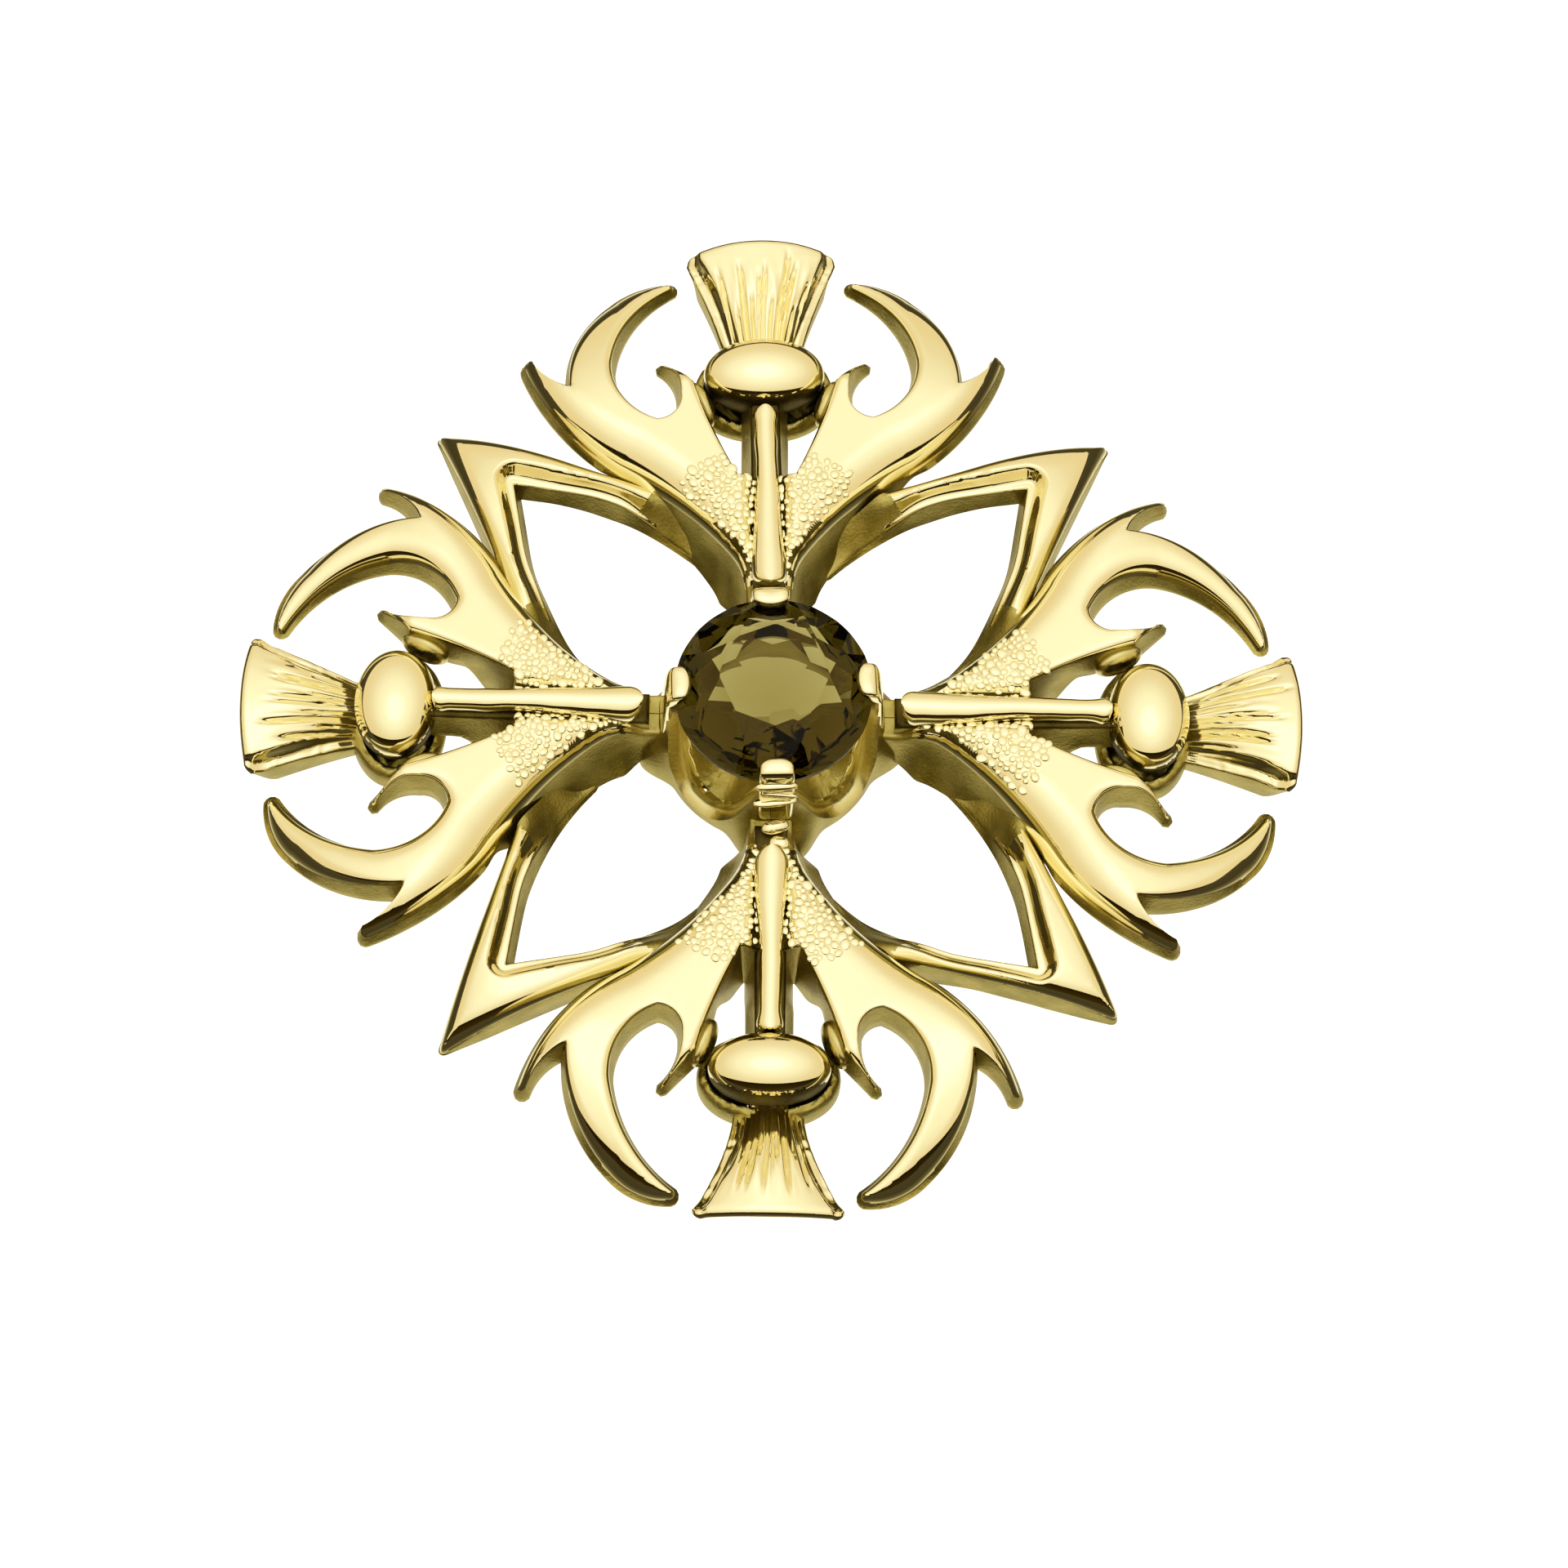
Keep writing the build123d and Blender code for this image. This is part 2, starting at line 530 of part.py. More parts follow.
def stone():
    """Round stone with a table, eight main facets and girdle facets above and below."""
    half = STONE_DIAMETER / 2
    table = GIRDLE_HEIGHT + GIRDLE_THICKNESS + CROWN_HEIGHT
    culet = GIRDLE_HEIGHT - half * math.tan(math.radians(PAVILION_ANGLE))
    body = Pos(0, 0, (table + culet) / 2) * extrude(
        RegularPolygon(half, 2 * FACET_COUNT), (table - culet) / 2 + MARGIN, both=True
    )
    for count, first, slope, radius, height in STONE_FACETS:
        tilt = math.radians(abs(slope))
        up = 1 if slope > 0 else -1
        for index in range(count):
            turn = math.radians(first + 360.0 * index / count)
            outward = Vector(math.cos(turn), math.sin(turn), 0)
            normal = outward * math.sin(tilt) + Vector(0, 0, up * math.cos(tilt))
            place = outward * radius + Vector(0, 0, height)
            body = split(body, Plane(origin=place, z_dir=normal), keep=Keep.BOTTOM)
    body = split(body, Plane(origin=(0, 0, table), z_dir=(0, 0, 1)), keep=Keep.BOTTOM)
    culet_plane = Plane(origin=(0, 0, culet + CULET_HEIGHT), z_dir=(0, 0, -1))
    return split(body, culet_plane, keep=Keep.BOTTOM)


def pin(clearance=0.0):
    """The closed pin: hinge block, stem and catch in one piece. With a clearance, its cutter."""
    low = -MARGIN if clearance else PIN_AXIS_HEIGHT - PIN_RADIUS
    width = PIN_BLOCK_WIDTH + 2 * clearance
    length = PIN_BLOCK_LENGTH + 2 * clearance
    height = PIN_BLOCK_TOP + clearance - low
    body = None
    for side in (-1, 1):
        block = Pos(side * PIN_SPAN / 2, 0, low + height / 2) * Box(length, width, height)
        body = block if body is None else body + block
    if clearance:
        slot_height = PIN_AXIS_HEIGHT + PIN_RADIUS + clearance - low
        return body + Pos(0, 0, low + slot_height / 2) * Box(
            PIN_SPAN, 2 * (PIN_RADIUS + clearance), slot_height
        )
    rod = Pos(0, 0, PIN_AXIS_HEIGHT) * Cylinder(PIN_RADIUS, PIN_SPAN, rotation=(0, 90, 0))
    return body + rod


def dished_back():
    """Shallow dish that is taken out of the back, so that only the chevrons rest on the table."""
    radius = (BACK_FLAT_FROM ** 2 + BACK_RISE ** 2) / (2 * BACK_RISE)
    half = BACK_FLAT_FROM / 2
    height_half = BACK_RISE - (radius - math.sqrt(radius ** 2 - half ** 2))
    return turned_solid([
        Line(Vector(0, 0, -MARGIN), Vector(0, 0, BACK_RISE)),
        ThreePointArc(
            Vector(0, 0, BACK_RISE), Vector(half, 0, height_half), Vector(BACK_FLAT_FROM, 0, 0)
        ),
        Line(Vector(BACK_FLAT_FROM, 0, 0), Vector(BACK_FLAT_FROM, 0, -MARGIN)),
        Line(Vector(BACK_FLAT_FROM, 0, -MARGIN), Vector(0, 0, -MARGIN)),
    ])


def stone_room():
    """Room for the stone in the setting, with its clearance."""
    room_radius = STONE_DIAMETER / 2 + SETTING_GAP
    return turned_solid([
        Polyline(
            Vector(0, 0, STONE_ROOM_FLOOR),
            Vector(STONE_ROOM_POINT, 0, STONE_ROOM_FLOOR),
            Vector(room_radius, 0, GIRDLE_HEIGHT - SEAT_GAP),
            Vector(room_radius, 0, CLAW_TOP + MARGIN),
            Vector(0, 0, CLAW_TOP + MARGIN),
            Vector(0, 0, STONE_ROOM_FLOOR),
        )
    ])


def frame():
    """The whole casting with its soldered setting."""
    body = collet()
    for heading, sway, reach_share in CHEVRONS:
        body += Rot(0, 0, heading) * chevron(sway, reach_share)
    for heading, turn in THISTLES:
        body += Rot(0, 0, heading + turn) * thistle()
    body -= stone_room()
    for index in range(4):
        body += Rot(0, 0, 90.0 * index) * claw()
    body -= dished_back()
    body -= pin(PIN_GAP)
    return body


def main():
    os.makedirs("parts", exist_ok=True)
    pieces = {"thistle_frame": frame(), "centre_stone": stone(), "brooch_pin": pin()}
    for name, shape in pieces.items():
        export_step(shape, f"parts/{name}.step")


main()
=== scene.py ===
import math

import bmesh
import bpy
import numpy as np
from mathutils import Matrix, Vector
from mathutils.geometry import delaunay_2d_cdt


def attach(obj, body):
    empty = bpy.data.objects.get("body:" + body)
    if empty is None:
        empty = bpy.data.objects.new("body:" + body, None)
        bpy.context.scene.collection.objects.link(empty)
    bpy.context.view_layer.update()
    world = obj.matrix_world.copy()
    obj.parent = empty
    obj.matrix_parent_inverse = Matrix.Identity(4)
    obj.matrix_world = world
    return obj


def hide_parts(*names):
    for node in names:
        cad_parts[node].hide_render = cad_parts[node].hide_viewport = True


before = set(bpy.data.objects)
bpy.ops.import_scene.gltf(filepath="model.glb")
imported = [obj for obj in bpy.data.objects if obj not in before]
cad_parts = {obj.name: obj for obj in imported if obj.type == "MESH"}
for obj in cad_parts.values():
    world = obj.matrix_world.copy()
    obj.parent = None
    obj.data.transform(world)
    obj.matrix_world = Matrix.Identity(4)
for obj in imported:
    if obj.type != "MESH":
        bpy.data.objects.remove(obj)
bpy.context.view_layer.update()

# Sizes in millimetres and angles in degrees. The face of the brooch looks along +Z and the top
# thistle points along +Y. An arm or a corner is built along +Y, with x across it.
MM = 0.001
ARM_REACH = 21.6
PLATE_TOP = 4.05
TIP_DROP_FROM = 15.0
TIP_DROP_RADIUS = 9.0
BACK_RISE = 0.9
DISH_RADIUS = 17.5
LEAF_UNDERSIDE = 2.15
POINT_STEP = 0.12
COARSE_STEP = 1.2
ROLL_LIP = 78.0
ROLL_SHARES = (0.04, 0.10, 0.175, 0.265, 0.37, 0.49, 0.65, 0.82, 1.0)
SWELL_RADIUS = 7.0
SWELL_LIP = 15.0
BARB_ROOT = np.array((3.35, 14.75))
BARB_WAY = np.array((0.97, 1.21)) / math.hypot(0.97, 1.21)
STEM_TOP = 4.40
RIB_TOP = 3.35
CALYX_HALVES = (2.84, 1.92)
CALYX_MIDDLE = 15.22
CALYX_TOP = 2.30
CALYX_UNDERSIDE = 0.95
BULB_HEIGHT = 2.95
BULB_HALF_HEIGHT = 1.50
BULB_CUT = 3.05
LUMP = (2.62, 14.20, 2.72)
LUMP_HALVES = (0.44, 1.05, 0.85)
TUFT_FOOT = 16.5
TUFT_CORNER = 0.36
CHEVRON_REACH = 19.15
CHEVRON_TOP = 2.9
STONE_RADIUS = 4.0
GIRDLE_HEIGHT = 5.3
PAVILION_ANGLE = 41.0
COLLET_FOOT = 0.4
COLLET_BORE = 2.42
SETTING_TURN = 1.7
# Numbers of the metals, in the order of the material slots. The second, the rough cast gold, is
# darker partly as painted shade; the third is dark gold that paints shade.
POLISHED, CAST_AND_SHADE, PAINTED_SHADE, SATIN = range(4)
STONE_FACETS = (
    # count, first azimuth, slope (negative below), radius and height of a point on the facet
    (1, 0.0, 0.001, 0.0, 7.05),
    (8, 0.0, 41.5, 4.00, 5.50),
    (16, 11.25, 47.0, 3.98, 5.50),
    (8, 22.5, 27.0, 2.07, 7.05),
    (8, 0.0, -41.0, 4.00, 5.30),
    (16, 11.25, -43.5, 3.98, 5.30),
    (8, 22.5, -21.0, 2.55, 3.95),
    (5, 10.0, -14.0, 1.30, 3.42),
)

# Leaf outline on the right-hand side, in shares of ARM_REACH; roll is the radius of the rolled top
# edge there in millimetres, and swell how much of the broad rounding behind it the edge has.
LEAF = (
    # across, along, bow, roll, swell
    (0.046, 0.296, -0.0195, 1.15, 0.2),
    (0.278, 0.512, 0.0258, 1.75, 1.0),
    (0.461, 0.741, 0.0080, 0.80, 0.6),
    (0.447, 0.751, -0.0116, 0.25, 0.2),
    (0.375, 0.678, 0.0259, 0.15, 0.2),
    (0.292, 0.896, 0.0125, 0.80, 0.4),
    (0.183, 0.944, 0.0070, 0.45, 0.3),
    (0.173, 0.928, -0.0255, 0.60, 0.3),
    (0.294, 0.736, -0.0264, 0.45, 0.2),
    (0.208, 0.602, -0.0157, 0.12, 0.0),
    (0.162, 0.657, -0.0120, 0.12, 0.0),
    (0.200, 0.739, 0.0040, 0.10, 0.0),
    (0.194, 0.744, 0.0, 0.10, 0.0),
    (0.137, 0.685, -0.0050, 0.30, 0.2),
    (0.056, 0.484, 0.0, 0.18, 0.0),
    (0.000, 0.484, 0.0, 0.05, 0.0),
    (0.000, 0.190, 0.0, 0.05, 0.0),
    (0.040, 0.200, 0.0, 0.35, 0.0),
)
# The crescents of the side arms have a broader roll on their inner edge, by row of LEAF.
SIDE_ROLLS = {7: 1.00, 8: 1.15, 9: 0.55}
# Outline of half a corner opening, in shares of CHEVRON_REACH.
OPENING = (
    # across, along, bow
    (0.000, 0.787, 0.0),
    (0.108, 0.637, -0.0050),
    (0.172, 0.449, -0.0020),
    (0.176, 0.350, 0.0),
)
# Outer edge of half a corner beside the leaf, as (across, along) in shares of CHEVRON_REACH.
CHEVRON_SIDE = ((0.195, 0.350), (0.215, 0.37), (0.225, 0.42), (0.205, 0.56))
THISTLES = (
    # heading, turn, half width and half length of the bulb, middle of the bulb, inner end and
    # outer end of the stem
    (0.0, 1.1, 2.52, 1.58, 15.38, 5.40, 13.55),
    (90.0, -1.2, 2.30, 1.68, 15.30, 5.25, 13.80),
    (180.0, -0.5, 2.46, 1.46, 15.34, 6.25, 14.00),
    (270.0, 0.0, 2.30, 1.68, 15.35, 5.20, 13.80),
)
TUFTS = (
    # rise of the crown, half width at the crown, half width at the foot, power of the flare
    (0.74, 3.12, 1.50, 1.25),
    (0.62, 2.98, 1.35, 1.15),
    (0.44, 3.00, 1.38, 1.75),
    (0.62, 2.98, 1.35, 1.15),
)
CHEVRONS = (
    # heading, sway of the tip, share of CHEVRON_REACH
    (45.0, -0.25, 1.007),
    (135.0, -0.45, 1.000),
    (225.0, -1.10, 0.967),
    (315.0, 0.55, 1.014),
)
TUFT_GROOVES = (
    # place across, start, end, width, depth
    (-0.86, 0.04, 0.66, 0.11, 0.13),
    (-0.66, 0.00, 0.90, 0.12, 0.17),
    (-0.50, 0.00, 0.55, 0.08, 0.10),
    (-0.38, 0.00, 0.97, 0.13, 0.17),
    (-0.20, 0.02, 0.70, 0.09, 0.12),
    (-0.08, 0.00, 0.86, 0.08, 0.08),
    (0.04, 0.00, 0.94, 0.11, 0.13),
    (0.18, 0.00, 0.60, 0.09, 0.12),
    (0.31, 0.00, 0.95, 0.11, 0.16),
    (0.44, 0.00, 0.92, 0.11, 0.17),
    (0.60, 0.02, 0.62, 0.10, 0.12),
    (0.75, 0.00, 0.84, 0.12, 0.17),
    (0.88, 0.05, 0.55, 0.10, 0.12),
)
COLLET_LAND = (
    # radius, fall below the inner rim
    (3.76, 0.14), (3.64, 0.24), (3.50, 0.28), (3.36, 0.22), (3.22, 0.12), (3.08, 0.0),
    (2.94, -0.12), (2.80, -0.25), (2.65, -0.38), (2.50, -0.50),
)
CLAWS = (
    # heading, width, whether it has ridges
    (0.0, 1.54, False),
    (90.0, 1.50, False),
    (180.0, 1.42, True),
    (270.0, 1.50, False),
)
CLAW_COLUMNS = 44
CLAW_PEAK = (0, 3.84, 6.53)
CLAW_STEPS = (
    # height, inner reach, outer reach, width share
    (6.52, 3.60, 3.86, 0.50),
    (6.50, 3.46, 3.98, 0.76),
    (6.43, 3.37, 4.08, 0.91),
    (6.30, 3.32, 4.18, 0.98),
    (6.10, 3.32, 4.27, 1.00),
    (5.95, 3.40, 4.31, 1.00),
    (5.80, 3.66, 4.34, 1.00),
    (5.62, 4.08, 4.37, 1.00),
    (4.90, 4.06, 4.44, 1.00),
    (3.90, 3.90, 4.52, 1.00),
    (1.20, 3.80, 4.62, 1.02),
)
CLAW_RIDGES = (
    # height, depth, half height, share of the claw's width, reach, shift across, turn
    (5.66, 0.24, 0.24, 0.60, 4.30, 0.02, 2.0),
    (5.02, 0.16, 0.20, 0.55, 4.40, -0.05, -6.0),
    (4.50, 0.24, 0.14, 0.62, 4.46, 0.06, 5.0),
    (3.60, 0.30, 0.28, 0.40, 5.20, 0.05, 12.0),
    (3.35, 0.32, 0.26, 0.30, 5.80, -0.10, -15.0),
)
# Largest angle between faces that are shaded smooth, by piece and for the others.
SMOOTH_ANGLES = {"thistle_tufts": 50.0, "claws": 60.0}
SMOOTH_ANGLE = 38.0

GOLDS = (
    # name, light and dark colour, least and most roughness, noise scale, bump, ends of the mix
    ("polished_gold", (0.93, 0.86, 0.59), (0.915, 0.84, 0.56), 0.04, 0.09, 260.0, 0.02, 0.3, 0.7),
    # Rough as-cast gold, whose darker colour is also painted shade on walls, undersides and sunken
    # slopes.
    ("cast_and_shade_gold", (0.62, 0.525, 0.19), (0.42, 0.35, 0.10), 0.32, 0.48, 900.0, 0.5, 0.35, 0.65),
    # Painted shade: near-black gold for hollows, the ground beside and under the stems and the
    # lower caps of the bulbs.
    ("painted_shade_gold", (0.16, 0.125, 0.035), (0.08, 0.06, 0.015), 0.35, 0.50, 900.0, 0.4, 0.35, 0.65),
    ("satin_gold", (0.76, 0.67, 0.34), (0.66, 0.57, 0.26), 0.22, 0.32, 600.0, 0.2, 0.35, 0.65),
)
STONE_IOR = 1.55
# In metres, but the lens in millimetres, its shift in shares of the frame and turns in degrees.
BUMP_DEPTH = 0.00004
FLOOR_REACH = 1.5
FLOOR_LEVEL = -0.00005
CAMERA_LENS = 138.03
CAMERA_SHIFT = (0.00887, -0.02569)
CAMERA_TURNS = (("Z", -0.129), ("Y", -1.431), ("X", 23.287))
CAMERA_DISTANCE = 0.24735


def arc_loop(rows, scale, step, closed=True):
    """Points along arcs through rows of (across, along, bow, ...).

    Any further columns are carried along."""
    points, carried = [], []
    for row, following in zip(rows if closed else rows[:-1], (*rows[1:], rows[0])):
        start = np.array(row[:2]) * scale
        end = np.array(following[:2]) * scale
        bow = row[2] * scale
        chord = end - start
        length = math.hypot(*chord)
        if abs(bow) < 1e-6:
            number = max(1, math.ceil(length / step))
            shares = np.arange(number) / number
            arc = start + shares[:, None] * chord
        else:
            radius = (length * length / 4 + bow * bow) / (2 * abs(bow))
            half = 2 * math.atan2(2 * abs(bow), length)
            way = np.array((chord[1], -chord[0])) / length
            centre = (start + end) / 2 + way * (bow - math.copysign(radius, bow))
            number = max(2, math.ceil(2 * half * radius / step))
            shares = np.arange(number) / number
            first = math.atan2(start[1] - centre[1], start[0] - centre[0])
            angles = first + math.copysign(2 * half, bow) * shares
            arc = centre + radius * np.stack([np.cos(angles), np.sin(angles)], axis=1)
        points.append(arc)
        own, theirs = np.array(row[3:]), np.array(following[3:])
        carried.append(own + (theirs - own) * shares[:, None])
    if not closed:
        points.append(np.array([rows[-1][:2]]) * scale)
        carried.append(np.array([rows[-1][3:]]))
    return np.concatenate(points), np.concatenate(carried)


def inside(points, loop):
    """Which points lie inside a closed loop."""
    result = np.zeros(len(points), bool)
    x, y = points[:, 0], points[:, 1]
    ends = np.roll(loop, -1, axis=0)
    for (ax, ay), (bx, by) in zip(loop, ends):
        if ay == by:
            continue
        hit = (ay > y) != (by > y)
        cross = ax + (y - ay) * (bx - ax) / (by - ay)
        result ^= hit & (x < cross)
    return result


def segment_gaps(points, loop, closed=True):
    """Distance from each point to each side of a loop, and the share along that side."""
    ends = np.roll(loop, -1, axis=0) if closed else loop[1:]
    starts = loop if closed else loop[:-1]
    way = ends - starts
    length = np.maximum((way * way).sum(axis=1), 1e-12)
    away_x = points[:, None, 0] - starts[None, :, 0]
    away_y = points[:, None, 1] - starts[None, :, 1]
    share = np.clip((away_x * way[:, 0] + away_y * way[:, 1]) / length, 0, 1)
    return np.hypot(away_x - share * way[:, 0], away_y - share * way[:, 1]), share


def distances(points, loop, closed=True, chunk=1500):
    """Distance from each point to a loop, and the number of the nearest side."""
    best, index = np.empty(len(points)), np.empty(len(points), int)
    for low in range(0, len(points), chunk):
        gap, _ = segment_gaps(points[low:low + chunk], loop, closed)
        index[low:low + chunk] = gap.argmin(axis=1)
        best[low:low + chunk] = gap.min(axis=1)
    return best, index


def clear_of(points, loop, gap, closed=True):
    """The points that lie farther than the gap from a loop."""
    return points[distances(points, loop, closed)[0] > gap]


def apart(points, others, gap, chunk=3000):
    """The points that lie farther than the gap from all the others."""
    kept = []
    for low in range(0, len(points), chunk):
        part = points[low:low + chunk]
        near = np.hypot(part[:, None, 0] - others[:, 0], part[:, None, 1] - others[:, 1])
        kept.append(part[near.min(axis=1) > gap])
    return np.concatenate(kept)


def from_middle(points):
    """Distance of each point from the middle of the brooch."""
    return np.hypot(points[:, 0], points[:, 1])


def reversed_mirror(points):
    """Points mirrored across the arm, in reverse order."""
    return (points * np.array((-1, 1)))[::-1]


def roll_drop(gap, radius, lip=ROLL_LIP):
    """Drop of a rolled edge at a distance from the edge."""
    width = radius * math.sin(math.radians(lip))
    short = np.clip(width - gap, 0, None)
    return radius - np.sqrt(np.clip(radius * radius - short * short, 0, None))


def edge_roll(points, loop, radii, lip=ROLL_LIP, chunk=1500):
    """Largest drop that any part of the edge gives at each point."""
    drop = np.empty(len(points))
    following = np.roll(radii, -1)
    for low in range(0, len(points), chunk):
        gap, share = segment_gaps(points[low:low + chunk], loop)
        radius = radii + (following - radii) * share
        drop[low:low + chunk] = roll_drop(gap, radius, lip).max(axis=1)
    return drop


def edge_rows(loop, widths, shares):
    """Rows of points inside a loop that follow it at shares of its rolled width.

    widths is one number, or one for each point of the loop."""
    widths = np.full(len(loop), widths)
    way = -outward(loop)
    rows = []
    for share in shares:
        gap = widths * share
        points = loop + way * gap[:, None]
        near, _ = distances(points, loop)
        rows.append(points[inside(points, loop) & (near > gap * 0.96) & (near > 0.015)])
    return np.concatenate(rows)


def lattice(loop, spacing):
    """Points of a triangular lattice inside a loop."""
    low, high = loop.min(axis=0), loop.max(axis=0)
    rows = np.arange(low[1], high[1], spacing * math.sqrt(3) / 2)
    columns = np.arange(low[0], high[0], spacing)
    grid = np.array([
        (column + (spacing / 2 if number % 2 else 0), row)
        for number, row in enumerate(rows) for column in columns
    ])
    return grid[inside(grid, loop)]


def triangulate(loop, *interior):
    """Triangles over a closed loop and interior points; the loop points come first, in order."""
    points = np.concatenate([loop, *interior])
    edges = [(i, (i + 1) % len(loop)) for i in range(len(loop))]
    found, _, faces, origins, _, _ = delaunay_2d_cdt(
        [Vector(point) for point in points], edges, [], 0, 1e-6
    )
    found = np.array([tuple(point) for point in found])
    source = np.array([origin[0] if origin else -1 for origin in origins])
    faces = np.array([face for face in faces if len(face) == 3])
    faces = source[faces[inside(found[faces].mean(axis=1), loop)]]
    return points, faces[(faces >= 0).all(axis=1)]


def signed_area(loop):
    """Area inside a loop, above zero where it runs counter-clockwise."""
    x, y = loop.T
    return 0.5 * np.sum(x * np.roll(y, -1) - np.roll(x, -1) * y)


def outward(loop):
    """Outward normals of a closed loop whatever its direction."""
    way = np.roll(loop, -1, axis=0) - np.roll(loop, 1, axis=0)
    way /= np.maximum(np.hypot(way[:, 0], way[:, 1]), 1e-9)[:, None]
    normal = np.stack([way[:, 1], -way[:, 0]], axis=1)
    return normal if signed_area(loop) > 0 else -normal


class Shell:
    """Vertices and faces of one piece, with the number of a metal for each face."""

    def __init__(self, vertices=(), faces=(), kind=POLISHED):
        self.vertices, self.faces, self.kinds, self.count = [], [], [], 0
        if len(vertices):
            self.add(vertices, faces, kind)

    def add(self, vertices, faces, kind):
        """Adds vertices and faces; kind is one number or one for each face."""
        self.vertices.append(np.asarray(vertices, float))
        self.faces += [tuple(int(i) + self.count for i in face) for face in faces]
        self.kinds += [kind] * len(faces) if np.isscalar(kind) else list(kind)
        self.count += len(vertices)

    def placed(self, heading):
        """The same shell turned about Z by heading degrees, counter-clockwise."""
        turned = Shell()
        angle = math.radians(heading)
        cos, sin = math.cos(angle), math.sin(angle)
        spin = np.array(((cos, -sin, 0), (sin, cos, 0), (0, 0, 1)))
        turned.vertices = [part @ spin.T for part in self.vertices]
        turned.faces, turned.kinds, turned.count = list(self.faces), list(self.kinds), self.count
        return turned

    def mirrored(self):
        """The same shell mirrored across the arm."""
        other = Shell()
        other.vertices = [part * np.array((-1, 1, 1)) for part in self.vertices]
        other.faces = [face[::-1] for face in self.faces]
        other.kinds, other.count = list(self.kinds), self.count
        return other

    def join(self, *others):
        """Adds other shells to this one."""
        for other in others:
            self.faces += [tuple(i + self.count for i in face) for face in other.faces]
            self.vertices += other.vertices
            self.kinds += other.kinds
            self.count += other.count

    def middles(self):
        """Middle of each face."""
        vertices = np.concatenate(self.vertices)
        return np.array([vertices[list(face)].mean(axis=0) for face in self.faces])

    def mark(self, marked, kind):
        """Gives a metal to the polished faces that are marked."""
        pairs = zip(self.kinds, marked)
        self.kinds = [kind if own == POLISHED and mark else own for own, mark in pairs]


def relief(loop, top, bottom, walls, *interior, kind_top=POLISHED):
    """Closed shell with a shaped top over a flat loop, walls that run down, and an underside.

    walls is a list of (outward offset, share of the way down); an offset is a number, or an array
    with one for each point of the loop."""
    shell = Shell()
    points, faces = triangulate(loop, *interior)
    height = top(points)
    shell.add(np.column_stack([points, height]), upward(points, faces), kind_top)
    number = np.arange(len(loop))
    rim, way, previous = height[number], outward(loop), number
    depth = np.minimum(bottom(loop), rim - 0.05) - rim
    # The walls and the underside take the rough cast gold, whose darker colour is partly painted
    # shade.
    for offset, share in walls:
        low_loop = loop + way * np.reshape(offset, (-1, 1))
        level = rim + depth * share
        first = shell.count
        quads = wall_faces(previous - first, number, loop)
        shell.add(np.column_stack([low_loop, level]), quads, CAST_AND_SHADE)
        previous = first + number
    flat = clear_of(lattice(low_loop, COARSE_STEP), low_loop, 0.25 * COARSE_STEP)
    points, faces = triangulate(low_loop, flat)
    height = bottom(points)
    height[:len(loop)] = level
    shell.add(np.column_stack([points, height]), upward(points, faces)[:, ::-1], CAST_AND_SHADE)
    return shell


def upward(points, faces):
    """The faces with their normals up."""
    a, b, c = (points[faces[:, i]] for i in range(3))
    (bx, by), (cx, cy) = (b - a).T, (c - a).T
    area = bx * cy - by * cx
    faces = faces.copy()
    faces[area < 0] = faces[area < 0][:, ::-1]
    return faces


def wall_faces(upper, lower, loop):
    """Quads between two rings of a loop, with their normals away from the metal."""
    a, b, c, d = upper, np.roll(upper, -1), np.roll(lower, -1), lower
    return np.stack([a, d, c, b] if signed_area(loop) > 0 else [a, b, c, d], axis=1)


def linked(name, data):
    """Object in the scene that holds the data."""
    obj = bpy.data.objects.new(name, data)
    bpy.context.scene.collection.objects.link(obj)
    return obj


def make_object(name, shell, materials):
    """Mesh object in metres from a shell, with edges sharper than the angle kept crisp."""
    mesh = bpy.data.meshes.new(name)
    vertices = np.concatenate(shell.vertices) * MM
    mesh.from_pydata(vertices.tolist(), [], shell.faces)
    mesh.polygons.foreach_set("material_index", np.array(shell.kinds, int))
    mesh.update()
    for material in materials:
        mesh.materials.append(material)
    mesh.validate()
    mesh.shade_smooth()
    mesh.set_sharp_from_angle(angle=math.radians(SMOOTH_ANGLES.get(name, SMOOTH_ANGLE)))
    return linked(name, mesh)


def tip_drop(radius, start, curl):
    """Drop of a surface that curls down beyond a radius."""
    beyond = np.clip(radius - start, 0, curl * 0.95)
    return curl - np.sqrt(curl * curl - beyond * beyond)


def ease(value, low, high):
    """Smooth change from 0 to 1 as a value goes from low to high."""
    share = np.clip((value - low) / (high - low), 0, 1)
    return share * share * (3 - 2 * share)


def dished_back(points):
    """Height of the shallow dish in the back."""
    radius = np.clip(from_middle(points), 0, DISH_RADIUS)
    return BACK_RISE - BACK_RISE * (radius / DISH_RADIUS) ** 2


def underside(points):
    """Height of the back of an arm: the dish, and further out the underside of the leaves."""
    radius, dish = from_middle(points), dished_back(points)
    leaf_low = LEAF_UNDERSIDE - tip_drop(radius, 15.5, 15.0)
    return dish + (leaf_low - dish) * ease(radius, 11.4, 12.8)


# Leaves
leaf_loop, leaf_columns = arc_loop(LEAF, ARM_REACH, POINT_STEP)
leaf_roll, leaf_swell = leaf_columns.T
side_rows = [(*row[:3], SIDE_ROLLS.get(index, row[3]), row[4]) for index, row in enumerate(LEAF)]
side_roll = arc_loop(side_rows, ARM_REACH, POINT_STEP)[1][:, 0]
at_neck = np.where((leaf_loop[:, 0] > 0.7) & (leaf_loop[:, 1] > 4.8) & (leaf_loop[:, 1] < 8.5))[0]
for _ in range(60):
    before, after = leaf_loop[at_neck - 1], leaf_loop[(at_neck + 1) % len(leaf_loop)]
    leaf_loop[at_neck] = (before + 2 * leaf_loop[at_neck] + after) / 4


